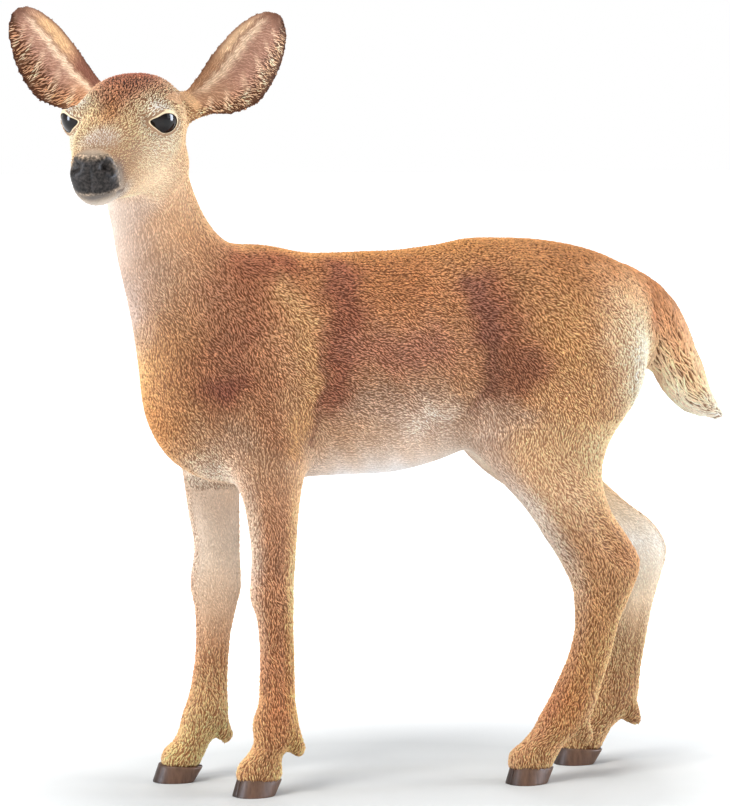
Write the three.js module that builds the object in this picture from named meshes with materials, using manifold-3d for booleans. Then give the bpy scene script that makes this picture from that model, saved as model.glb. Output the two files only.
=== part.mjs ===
// A palm-size moulded figure of a white-tailed doe, standing, with her head turned to her left.
// Millimetres, +Z up. She faces -X, her left side is -Y, and her hooves stand on z = 0.
import * as THREE from 'three';
import { mergeVertices } from 'three/addons/utils/BufferGeometryUtils.js';
import Module from 'manifold-3d';

const wasm = await Module();
wasm.setup();

// Driving dimensions. The body's own frame has y = 0 on the midline and x = 0 at mid-back.
const ORIGIN = new THREE.Vector3(1.7, -4.1, 0.3); // middle of the figure's box, on the ground
const PIECE_GAP = 0.3; // between pieces that meet
const HEAD_TURN = 61; // degrees from straight ahead towards her left
const HEAD_PITCH = 25; // degrees nose-down
const EYE_LINE = new THREE.Vector3(-29.4, -8.0, 74.1); // midway between the eyes
const EYE_RADIUS = 1.6;
const EYE_SPREAD = 4.3; // eye centre from the face's midline
const EAR_LENGTH = 14.2;
// Her ears: root in the head frame, and the share of the ear's direction that points up.
const EARS = {
  left: { side: 1, root: [-8.4, 5.4, -2.1], rise: 0.71 },
  right: { side: -1, root: [-8.4, -4.7, -1.7], rise: 0.735 },
};
const EAR_CUT = 2.4; // from its root to where an ear is parted from the head
const EAR_WALL = 0.9;
const PAD_BACK = 9.2; // the nose pad's back edge, in the head frame
const MOUTH_LINE = -2.3; // height of the mouth, in the head frame
const PAD_BLOCK = 8; // block that takes the pad off the muzzle
const LEG_CUT = [22, 16]; // length and width of the cut at the top of a leg
const LEG_INNER = 0.1; // from the midline to the inner edge of that cut
const HOOF_HEIGHT = 1.85;
const HOOF_LENGTH = 5.3;
const CLAW_WIDTH = 2.0;
const HEEL_LEAN = 0.85; // how far a hoof's top sits behind its sole
const CLEFT = 0.36; // between the two claws of a hoof
const SQUARENESS = 2.25; // superellipse power of the body's cross-sections

// Flat cuts that part the flesh: width, middle and normal of each.
const CUTS = [
  [22, new THREE.Vector3(-25.0, -1.0, 67.6), new THREE.Vector3(-0.49, -0.35, 1)], // throat to nape
  [24, new THREE.Vector3(-20.5, 0.0, 57.6), new THREE.Vector3(-0.36, 0, 1)], // foot of the neck
  [15, new THREE.Vector3(33.1, 0.0, 51.5), new THREE.Vector3(1, 0, 0.157)], // root of the tail
];

// Smooth value of every column of a table at s. The first column is the place along the table, and
// the slopes are limited so that the curve never overshoots the rows.
function through(rows, s) {
  const last = rows.length - 2;
  let i = 0;
  while (i < last && s > rows[i + 1][0]) i += 1;
  const span = rows[i + 1][0] - rows[i][0];
  const t = THREE.MathUtils.clamp((s - rows[i][0]) / span, 0, 1);
  const secant = (k, c) => (rows[k + 1][c] - rows[k][c]) / (rows[k + 1][0] - rows[k][0]);
  const slope = (k, c) => {
    if (k === 0) return secant(0, c);
    if (k > last) return secant(last, c);
    const [before, after] = [secant(k - 1, c), secant(k, c)];
    return before * after > 0 ? (2 * before * after) / (before + after) : 0;
  };
  return rows[i].slice(1).map((value, column) => {
    const c = column + 1;
    const rise = rows[i + 1][c] - value;
    const [a, b] = [slope(i, c) * span, slope(i + 1, c) * span];
    return value + t * (a + t * (3 * rise - 2 * a - b + t * (a + b - 2 * rise)));
  });
}

// Closed surface through rings of equally many points, with a flat fan over each end.
function loft(rings) {
  const sides = rings[0].length;
  const middle = (ring) => ring.reduce((sum, p) => sum.add(p), new THREE.Vector3())
    .divideScalar(sides);
  const points = [...rings.flat(), middle(rings[0]), middle(rings.at(-1))];
  const faces = [];
  for (let k = 0; k < rings.length - 1; k += 1) {
    for (let j = 0; j < sides; j += 1) {
      const [a, b] = [k * sides + j, k * sides + ((j + 1) % sides)];
      faces.push([a, b, b + sides], [a, b + sides, a + sides]);
    }
  }
  const [first, end] = [rings.length * sides, (rings.length - 1) * sides];
  for (let j = 0; j < sides; j += 1) {
    const next = (j + 1) % sides;
    faces.push([first, next, j], [first + 1, end + j, end + next]);
  }
  const volume = faces.reduce((sum, [a, b, c]) => (
    sum + points[a].dot(points[b].clone().cross(points[c]))), 0);
  if (volume < 0) faces.forEach((face) => face.reverse());
  const geometry = new THREE.BufferGeometry().setFromPoints(points);
  geometry.setIndex(faces.flat());
  return geometry;
}

// Geometry to solid and back.
function solid(geometry) {
  const bare = geometry.clone();
  bare.deleteAttribute('normal');
  bare.deleteAttribute('uv');
  const merged = mergeVertices(bare, 1e-4);
  return new wasm.Manifold(new wasm.Mesh({
    numProp: 3,
    vertProperties: new Float32Array(merged.attributes.position.array),
    triVerts: new Uint32Array(merged.index.array),
  }));
}

function geometryOf(manifold) {
  const { vertProperties, triVerts } = manifold.getMesh();
  const geometry = new THREE.BufferGeometry();
  geometry.setAttribute('position', new THREE.BufferAttribute(vertProperties, 3));
  geometry.setIndex(new THREE.BufferAttribute(triVerts, 1));
  return geometry;
}

const rounded = (value, power) => Math.sign(value) * Math.abs(value) ** (2 / power);

// Steps from one end of a table to the other.
function steps(rows, count) {
  const [start, end] = [rows[0][0], rows.at(-1)[0]];
  return Array.from({ length: count + 1 }, (_, k) => start + ((end - start) * k) / count);
}

// Loft of upright sections along a level axis.
// Rows: place along, top, bottom, height of the widest point, half-width.
function lengthwise(rows, count, sides, place) {
  return loft(steps(rows, count).map((s) => {
    const [top, bottom, widest, half] = through(rows, s);
    return Array.from({ length: sides }, (_, j) => {
      const turn = (2 * Math.PI * j) / sides;
      const lift = rounded(Math.sin(turn), SQUARENESS);
      const height = widest + lift * (lift > 0 ? top - widest : widest - bottom);
      return place(s, half * rounded(Math.cos(turn), SQUARENESS), height);
    });
  }));
}

// Loft of level sections up a leg or neck. Rows: height, front x, back x, middle y, half-width.
function upright(rows, count, sides) {
  return loft(steps(rows, count).map((z) => {
    const [front, back, middle, half] = through(rows, z);
    return Array.from({ length: sides }, (_, j) => {
      const turn = (2 * Math.PI * j) / sides;
      return new THREE.Vector3(
        (front + back) / 2 + ((back - front) / 2) * rounded(Math.cos(turn), SQUARENESS),
        middle + half * rounded(Math.sin(turn), SQUARENESS),
        z,
      );
    });
  }));
}

// Head frame: forward along the face, to her left, and up from the face.
const turn = THREE.MathUtils.degToRad(HEAD_TURN);
const pitch = THREE.MathUtils.degToRad(HEAD_PITCH);
const ahead = new THREE.Vector3(-Math.cos(turn), -Math.sin(turn), 0);
const headLeft = new THREE.Vector3(Math.sin(turn), -Math.cos(turn), 0);
const worldUp = new THREE.Vector3(0, 0, 1);
const headForward = ahead.clone().multiplyScalar(Math.cos(pitch))
  .addScaledVector(worldUp, -Math.sin(pitch));
const headUp = ahead.clone().multiplyScalar(Math.sin(pitch))
  .addScaledVector(worldUp, Math.cos(pitch));
const onHead = (forward, left, up) => EYE_LINE.clone().addScaledVector(headForward, forward)
  .addScaledVector(headLeft, left).addScaledVector(headUp, up);

// Barrel from the breast to the rump.
const TRUNK = [
  [-25.4, 48.0, 44.5, 46.3, 1.0],
  [-24.4, 52.5, 40.5, 46.5, 3.6],
  [-21.5, 58.0, 36.4, 46.8, 5.9],
  [-17.5, 60.2, 34.4, 46.8, 7.0],
  [-13.0, 60.7, 33.9, 46.2, 7.5],
  [-6.0, 59.5, 34.7, 45.8, 7.7],
  [2.0, 59.7, 34.9, 45.8, 7.9],
  [8.5, 60.4, 36.2, 46.6, 7.4],
  [12.5, 61.1, 37.8, 48.2, 7.3],
  [18.0, 61.0, 39.2, 50.0, 7.9],
  [24.0, 60.2, 39.8, 50.4, 7.9],
  [29.0, 58.5, 41.2, 50.2, 6.2],
  [31.9, 56.4, 44.6, 50.4, 3.8],
  [33.0, 53.6, 48.6, 51.0, 1.2],
];

const NECK = [
  [47.0, -25.6, -9.0, 0.0, 6.0],
  [51.5, -26.3, -9.5, 0.0, 5.9],
  [55.5, -27.1, -11.0, 0.0, 5.6],
  [59.0, -27.9, -13.8, 0.0, 5.1],
  [62.3, -28.5, -17.4, -0.2, 4.7],
  [65.5, -29.2, -19.3, -0.6, 4.5],
  [69.0, -29.4, -20.5, -1.2, 4.5],
  [72.0, -29.2, -20.9, -1.8, 4.5],
  [75.0, -28.6, -21.6, -2.2, 4.0],
  [77.0, -27.8, -22.8, -2.4, 2.8],
];

// Poll to nose, in the head frame.
const HEAD = [
  [-11.2, -0.6, -3.2, -2.0, 1.4],
  [-10.2, 0.8, -5.2, -2.2, 3.5],
  [-8.2, 1.9, -7.6, -2.4, 5.0],
  [-5.5, 2.8, -9.0, -2.2, 5.7],
  [-2.8, 3.1, -9.3, -2.0, 5.9],
  [0.0, 2.8, -8.8, -2.0, 5.6],
  [2.6, 2.2, -7.8, -2.0, 4.8],
  [5.6, 1.7, -6.5, -1.8, 3.8],
  [8.4, 1.4, -5.4, -1.5, 3.05],
  [10.2, 1.0, -4.8, -1.5, 2.6],
  [11.2, 0.1, -4.1, -1.7, 2.1],
  [11.6, -1.0, -3.0, -1.9, 1.2],
];

// Tail: place along it, centre x, centre z, half-thickness, half-width.
const TAIL = [
  [0.0, 29.8, 57.2, 1.2, 1.6],
  [0.2, 32.6, 55.0, 1.9, 2.3],
  [0.45, 35.0, 51.2, 2.2, 2.8],
  [0.68, 36.8, 46.5, 2.35, 2.8],
  [0.86, 38.7, 43.0, 2.0, 2.3],
  [1.0, 41.9, 40.4, 0.4, 0.6],
];

// Legs by name. side is -1 on her left, sole is the hoof's centre and splay its outward turn in
// degrees. top, joint and fetlock are the heights where a leg is parted, and slope tilts the top cut.
const LEGS = {
  fore_left: {
    side: -1, sole: [-14.2, -5.7], splay: 22, top: 33.3, slope: 0, joint: 20.4, fetlock: 8.6,
    rows: [
      [2.6, -16.1, -11.0, -5.7, 2.0],
      [4.2, -15.2, -11.0, -5.7, 1.95],
      [6.2, -14.0, -9.6, -5.7, 1.95],
      [8.2, -14.1, -9.2, -5.7, 2.0],
      [10.8, -13.5, -9.5, -5.7, 1.7],
      [16.0, -13.4, -9.6, -5.7, 1.6],
      [19.5, -13.7, -9.7, -5.7, 1.75],
      [22.5, -14.5, -9.7, -5.7, 2.0],
      [26.3, -14.3, -9.4, -5.6, 2.05],
      [30.7, -14.9, -9.0, -5.5, 2.5],
      [35.2, -16.0, -8.2, -5.2, 3.0],
      [41.0, -18.5, -6.0, -4.6, 3.5],
      [48.0, -19.0, -5.5, -3.9, 3.6],
      [54.0, -17.0, -7.0, -3.0, 3.2],
    ],
  },
  fore_right: {
    side: 1, sole: [-20.7, 5.7], splay: 10, top: 33.3, slope: 0, joint: 20.4, fetlock: 8.6,
    rows: [
      [2.6, -22.1, -17.6, 5.7, 2.0],
      [4.2, -20.9, -16.6, 5.7, 1.95],
      [6.2, -19.9, -15.2, 5.7, 1.95],
      [8.2, -19.3, -14.5, 5.7, 2.0],
      [10.8, -18.6, -14.5, 5.7, 1.7],
      [16.0, -18.0, -14.2, 5.7, 1.6],
      [19.5, -18.1, -13.5, 5.7, 1.75],
      [22.3, -18.6, -12.9, 5.7, 2.0],
      [26.3, -18.2, -13.0, 5.6, 2.05],
      [30.7, -19.0, -12.9, 5.5, 2.5],
      [34.0, -19.5, -13.0, 5.2, 3.0],
      [41.0, -20.5, -9.0, 4.6, 3.5],
      [48.0, -19.5, -6.5, 3.9, 3.6],
      [54.0, -17.0, -7.0, 3.0, 3.2],
    ],
  },
  hind_left: {
    side: -1, sole: [17.1, -5.7], splay: 22, top: 37.4, slope: 0.17, joint: 21.6, fetlock: 7.6,
    rows: [
      [2.6, 15.0, 20.2, -5.7, 2.0],
      [4.2, 16.1, 21.3, -5.7, 2.0],
      [6.2, 18.0, 23.4, -5.7, 2.0],
      [8.5, 19.3, 24.9, -5.7, 1.85],
      [11.0, 20.5, 25.8, -5.7, 1.7],
      [14.9, 22.2, 27.0, -5.7, 1.65],
      [18.0, 22.8, 27.8, -5.7, 1.75],
      [21.5, 22.6, 29.3, -5.7, 1.9],
      [24.7, 21.2, 30.3, -5.7, 2.0],
      [27.5, 19.4, 28.9, -5.6, 2.4],
      [31.0, 17.0, 26.7, -5.4, 3.0],
      [34.5, 13.6, 25.9, -5.2, 3.5],
      [38.0, 11.0, 26.8, -4.9, 4.0],
      [42.0, 11.0, 29.4, -4.7, 4.3],
      [47.0, 12.5, 31.6, -4.4, 4.4],
      [53.0, 14.5, 31.0, -3.8, 4.0],
      [58.0, 17.5, 28.0, -3.0, 2.8],
    ],
  },
  hind_right: {
    side: 1, sole: [26.3, 5.6], splay: 8, top: 37.4, slope: 0.17, joint: 21.6, fetlock: 7.6,
    rows: [
      [2.6, 24.5, 29.7, 5.6, 2.0],
      [4.2, 25.4, 30.8, 5.6, 2.0],
      [6.2, 27.2, 33.0, 5.6, 2.0],
      [8.5, 28.3, 34.0, 5.6, 1.85],
      [11.0, 29.2, 34.3, 5.6, 1.7],
      [14.9, 30.2, 35.0, 5.6, 1.65],
      [18.0, 30.4, 35.6, 5.6, 1.75],
      [21.5, 29.9, 36.6, 5.6, 1.9],
      [24.7, 28.5, 37.4, 5.6, 2.0],
      [27.5, 26.4, 36.0, 5.6, 2.4],
      [31.0, 20.4, 31.6, 5.4, 3.0],
      [34.5, 14.8, 28.6, 5.2, 3.5],
      [38.0, 11.6, 28.8, 4.9, 4.0],
      [42.0, 12.0, 30.4, 4.7, 4.3],
      [47.0, 13.0, 31.8, 4.4, 4.4],
      [53.0, 14.5, 31.0, 3.8, 4.0],
      [58.0, 17.5, 28.0, 3.0, 2.8],
    ],
  },
};

// Ear outline along its length: share of length, inner edge, outer edge, depth of the cup.
const EAR = [
  [-0.12, -1.3, 1.5, 0.7],
  [0.05, -1.9, 2.4, 1.7],
  [0.2, -1.9, 4.2, 2.2],
  [0.42, -2.2, 5.3, 2.2],
  [0.62, -2.35, 4.8, 1.7],
  [0.8, -2.0, 3.7, 1.2],
  [0.93, -1.2, 2.3, 0.7],
  [0.99, -0.1, 0.9, 0.35],
];

// Direction of an ear from its root to its tip.
const earAxis = ({ side, rise }) => headLeft.clone().multiplyScalar(Math.sqrt(1 - rise ** 2) * side)
  .addScaledVector(worldUp, rise);

// Cupped leaf. Its hollow faces forward and a little out.
function ear({ side, root, rise }) {
  const along = earAxis({ side, rise });
  const open = ahead.clone().addScaledVector(headLeft, 0.1 * side);
  const across = along.clone().cross(open).multiplyScalar(side).normalize();
  const hollow = across.clone().cross(along).multiplyScalar(side).normalize();
  const SIDES = 16;
  return loft(steps(EAR, 11).map((share) => {
    const [inner, outer, cup] = through(EAR, share);
    return Array.from({ length: SIDES }, (_, j) => {
      const round = (2 * Math.PI * j) / SIDES;
      const c = Math.cos(round);
      const wall = (EAR_WALL / 2) * Math.sign(Math.sin(round)) * Math.abs(Math.sin(round)) ** 0.6;
      const reach = (inner + outer) / 2 + (c * (outer - inner)) / 2;
      return onHead(...root).addScaledVector(along, share * EAR_LENGTH)
        .addScaledVector(across, reach)
        .addScaledVector(hollow, wall - cup * (1 - c * c));
    });
  }));
}

// Tail with elliptical sections square to its centre line.
function tail() {
  const centre = (t) => {
    const [x, z] = through(TAIL, t);
    return new THREE.Vector3(x, 0, z);
  };
  const SIDES = 12;
  return loft(steps(TAIL, 12).map((t) => {
    const [, , thick, wide] = through(TAIL, t);
    const run = centre(t + 0.02).sub(centre(t - 0.02)).normalize();
    const out = new THREE.Vector3(-run.z, 0, run.x);
    return Array.from({ length: SIDES }, (_, j) => {
      const round = (2 * Math.PI * j) / SIDES;
      return centre(t).addScaledVector(out, thick * Math.cos(round))
        .add(new THREE.Vector3(0, wide * Math.sin(round), 0));
    });
  }));
}

// Two spurs behind a fetlock, pointing down and back.
function dewclaws(leg) {
  const [, back, middle] = through(leg.rows, 6.6);
  return [-1, 1].map((hand) => {
    const spur = new THREE.SphereGeometry(1, 8, 6);
    spur.scale(0.75, 0.75, 1.9);
    spur.rotateY(THREE.MathUtils.degToRad(-24));
    spur.translate(back - 0.35, middle + 0.85 * hand, 6.3);
    return solid(spur);
  });
}

// One claw: level sections, flat towards the cleft and curved outside, leaning back to the heel.
// hand is 1 for the outer claw of a hoof and -1 for the inner one.
function claw(leg, hand) {
  const heading = THREE.MathUtils.degToRad(leg.splay * leg.side);
  const toe = new THREE.Vector3(-Math.cos(heading), Math.sin(heading), 0);
  const out = new THREE.Vector3(toe.y, -toe.x, 0).multiplyScalar(leg.side * hand);
  const SIDES = 12;
  return loft([0, 1].map((share) => {
    const half = (HOOF_LENGTH / 2) * (0.87 + 0.06 * share);
    return Array.from({ length: SIDES }, (_, j) => {
      const round = (2 * Math.PI * j) / SIDES;
      const bulge = Math.sin(round) > 0 ? CLAW_WIDTH * (1 - 0.07 * share) : 0;
      const swell = Math.abs(Math.sin(round)) ** 0.8;
      const point = half * Math.cos(round) - HEEL_LEAN * share;
      const level = ORIGIN.z + HOOF_HEIGHT * share * (1 + 0.08 * Math.cos(round));
      return new THREE.Vector3(leg.sole[0], leg.sole[1], level)
        .addScaledVector(toe, point)
        .addScaledVector(out, CLEFT / 2 + bulge * swell);
    });
  }));
}

// A block with its middle at a place, turned so that its z axis lies along a direction.
function block(size, place, direction) {
  const box = new THREE.BoxGeometry(...size);
  const swing = new THREE.Quaternion().setFromUnitVectors(worldUp, direction.clone().normalize());
  box.applyQuaternion(swing);
  box.translate(place.x, place.y, place.z);
  return solid(box);
}
const cut = (wide, place, direction) => block([wide, wide, PIECE_GAP], place, direction);

// The whole body in one, with sockets for the eyes.
const eyes = { left: onHead(-0.2, EYE_SPREAD, 0.15), right: onHead(-0.2, -EYE_SPREAD, 0.15) };
const eyeBall = (centre, radius) => {
  const ball = new THREE.SphereGeometry(radius, 12, 8);
  ball.translate(centre.x, centre.y, centre.z);
  return solid(ball);
};
let flesh = solid(lengthwise(TRUNK, 22, 20, (x, y, z) => new THREE.Vector3(x, y, z)))
  .add(solid(upright(NECK, 11, 18)))
  .add(solid(lengthwise(HEAD, 15, 20, onHead)))
  .add(solid(tail()));
for (const leg of Object.values(LEGS)) {
  flesh = flesh.add(solid(upright(leg.rows, 22, 12)));
  for (const spur of dewclaws(leg)) flesh = flesh.add(spur);
}
for (const one of Object.values(EARS)) flesh = flesh.add(solid(ear(one)));
for (const centre of Object.values(eyes)) {
  flesh = flesh.subtract(eyeBall(centre, EYE_RADIUS + PIECE_GAP));
}

// The nose pad, down to the mouth line, is a piece of its own.
const padBlock = (grow) => block(
  [PAD_BLOCK + 2 * grow, PAD_BLOCK + 2 * grow, PAD_BLOCK + 2 * grow],
  onHead(PAD_BACK + PAD_BLOCK / 2, 0, MOUTH_LINE + PAD_BLOCK / 2),
  headForward,
);
const nosePad = flesh.intersect(padBlock(0));
flesh = flesh.subtract(padBlock(PIECE_GAP));

// Middle of a leg at a height.
function legMiddle(leg, z) {
  const [front, back, middle] = through(leg.rows, z);
  return new THREE.Vector3((front + back) / 2, middle, z);
}

for (const [wide, place, direction] of CUTS) flesh = flesh.subtract(cut(wide, place, direction));
for (const one of Object.values(EARS)) {
  const place = onHead(...one.root).addScaledVector(earAxis(one), EAR_CUT);
  flesh = flesh.subtract(cut(12, place, earAxis(one)));
}
for (const leg of Object.values(LEGS)) {
  const hip = legMiddle(leg, leg.top);
  hip.y = leg.side * (LEG_INNER + LEG_CUT[1] / 2);
  const slope = new THREE.Vector3(-leg.slope, 0, 1);
  flesh = flesh.subtract(cut(9.5, legMiddle(leg, leg.joint), worldUp))
    .subtract(cut(9.5, legMiddle(leg, leg.fetlock), worldUp))
    .subtract(block([...LEG_CUT, PIECE_GAP], hip, slope));
}

// Each piece of flesh takes the name of the place nearest to its middle.
const PLACES = {
  head: onHead(-2, 0, -2),
  neck: new THREE.Vector3(-23.5, 0, 62),
  trunk: new THREE.Vector3(0, 0, 47),
  tail: new THREE.Vector3(36.9, 0, 46.6),
  ear_left: onHead(-8, 12, 5),
  ear_right: onHead(-8, -12, 5),
};
for (const [name, leg] of Object.entries(LEGS)) {
  PLACES[`${name}_upper`] = legMiddle(leg, (leg.joint + leg.top) / 2);
  PLACES[`${name}_cannon`] = legMiddle(leg, (leg.fetlock + leg.joint) / 2);
  PLACES[`${name}_pastern`] = legMiddle(leg, (leg.rows[0][0] + leg.fetlock) / 2);
}

const fawn = { color: 0xc8935c, roughness: 0.6, metalness: 0 };
const PAINTS = {
  head: { ...fawn, color: 0xc99a68 },
  neck: { ...fawn, color: 0xd0a982 },
  ear: { ...fawn, color: 0xb88a72 },
  nose: { color: 0x2f2b29, roughness: 0.4, metalness: 0 },
  eye: { color: 0x0c0a0a, roughness: 0.12, metalness: 0 },
  hoof: { color: 0x4e4039, roughness: 0.45, metalness: 0 },
};

function named(name, geometry) {
  const kind = Object.keys(PAINTS).find((word) => name.startsWith(word));
  const faceted = geometry.toNonIndexed();
  faceted.computeVertexNormals();
  const mesh = new THREE.Mesh(faceted, new THREE.MeshStandardMaterial(PAINTS[kind] ?? fawn));
  mesh.name = name;
  return mesh;
}

const figure = new THREE.Group();
for (const piece of flesh.decompose()) {
  const geometry = geometryOf(piece);
  geometry.computeBoundingBox();
  const middle = geometry.boundingBox.getCenter(new THREE.Vector3());
  const [name] = Object.entries(PLACES).reduce((best, place) => (
    middle.distanceTo(place[1]) < middle.distanceTo(best[1]) ? place : best));
  figure.add(named(name, geometry));
}
figure.add(named('nose', geometryOf(nosePad)));
for (const [hand, centre] of Object.entries(eyes)) {
  figure.add(named(`eye_${hand}`, geometryOf(eyeBall(centre, EYE_RADIUS))));
}
for (const [name, leg] of Object.entries(LEGS)) {
  figure.add(named(`hoof_${name}_outer`, claw(leg, 1)));
  figure.add(named(`hoof_${name}_inner`, claw(leg, -1)));
}
figure.position.copy(ORIGIN).negate();
export default figure;
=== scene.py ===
"""A palm-size toy figure of a white-tailed doe, moulded in vinyl with a sculpted coat and painted by hand.

Shapes are worked out in millimetres in the figure's own frame: she faces -X, her left side is -Y,
+Z is up and y = 0 is her midline. A mesh is moved to the CAD's frame, in metres, when it is made.
"""

import bpy
import numpy as np
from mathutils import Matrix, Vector


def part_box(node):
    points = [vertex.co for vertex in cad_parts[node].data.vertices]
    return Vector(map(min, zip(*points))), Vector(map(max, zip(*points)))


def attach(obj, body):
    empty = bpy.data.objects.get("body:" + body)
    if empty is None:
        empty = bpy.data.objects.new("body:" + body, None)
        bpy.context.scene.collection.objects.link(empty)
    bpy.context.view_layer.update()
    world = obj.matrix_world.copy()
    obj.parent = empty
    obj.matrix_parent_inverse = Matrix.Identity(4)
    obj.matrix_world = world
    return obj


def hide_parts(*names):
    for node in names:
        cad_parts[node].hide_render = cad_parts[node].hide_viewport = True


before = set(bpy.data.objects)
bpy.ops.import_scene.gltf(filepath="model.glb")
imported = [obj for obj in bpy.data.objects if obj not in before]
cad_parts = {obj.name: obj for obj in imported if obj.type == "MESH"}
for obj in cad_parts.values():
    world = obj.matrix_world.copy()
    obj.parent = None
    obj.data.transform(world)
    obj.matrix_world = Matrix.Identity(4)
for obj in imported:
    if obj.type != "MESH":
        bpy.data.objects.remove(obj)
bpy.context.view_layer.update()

MM = 0.001
rng = np.random.default_rng(86)

# ---------------------------------------------------------------- driving dimensions
HEAD_TURN = np.radians(61)  # from straight ahead towards her left
HEAD_PITCH = np.radians(25)  # nose-down
EYE_LINE = np.array([-29.4, -8.0, 74.1])  # midway between the eyes
EYE_PLACE = (-0.2, 4.3, 0.15)  # forward, sideways and up from there
EAR_LENGTH = 14.2
EAR_WALL = 0.9
# Side of the head, root (forward, left, up of the eye line) and sine of the angle at which it rises.
EARS = {"ear_left": (1, (-8.4, 5.4, -2.1), 0.71), "ear_right": (-1, (-8.4, -4.7, -1.7), 0.735)}
MUZZLE_START = 8.8  # where the coat ends on the muzzle, along the head
MOUTH_LINE = -2.6  # height of the mouth on the head
HOOF_HEIGHT = 1.85
HOOF_LENGTH = 5.3
CLAW_WIDTH = 2.0
HEEL_LEAN = 0.85
CLEFT = 0.36
GROUND = 0.3  # height of the floor in the figure's own frame
SQUARENESS = 2.25  # superellipse power of the body's cross-sections
COAT_DEPTH = 0.1  # from the skin up to the crests of the sculpted coat

# Rows: place along, top, bottom, height of the widest point, half-width.
TRUNK = [
    [-25.4, 48.0, 44.5, 46.3, 1.0],
    [-24.4, 52.5, 40.5, 46.5, 3.6],
    [-21.5, 58.0, 36.4, 46.8, 5.9],
    [-17.5, 60.2, 34.4, 46.8, 7.0],
    [-13.0, 60.7, 33.9, 46.2, 7.5],
    [-6.0, 59.5, 34.7, 45.8, 7.7],
    [2.0, 59.7, 34.9, 45.8, 7.9],
    [8.5, 60.4, 36.2, 46.6, 7.4],
    [12.5, 61.1, 37.8, 48.2, 7.3],
    [18.0, 61.0, 39.2, 50.0, 7.9],
    [24.0, 60.2, 39.8, 50.4, 7.9],
    [29.0, 58.5, 41.2, 50.2, 6.2],
    [31.9, 56.4, 44.6, 50.4, 3.8],
    [33.0, 53.6, 48.6, 51.0, 1.2],
]
HEAD = [
    [-11.2, -0.6, -3.2, -2.0, 1.4],
    [-10.2, 0.8, -5.2, -2.2, 3.5],
    [-8.2, 1.9, -7.6, -2.4, 5.0],
    [-5.5, 2.8, -9.0, -2.2, 5.7],
    [-2.8, 3.1, -9.3, -2.0, 5.9],
    [0.0, 2.8, -8.8, -2.0, 5.6],
    [2.6, 2.2, -7.8, -2.0, 4.8],
    [5.6, 1.7, -6.5, -1.8, 3.8],
    [8.4, 1.4, -5.4, -1.5, 3.05],
    [10.2, 1.0, -4.8, -1.5, 2.4],
    [11.2, 0.2, -4.1, -1.7, 1.9],
    [11.6, -1.0, -3.0, -1.9, 1.2],
]

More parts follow.
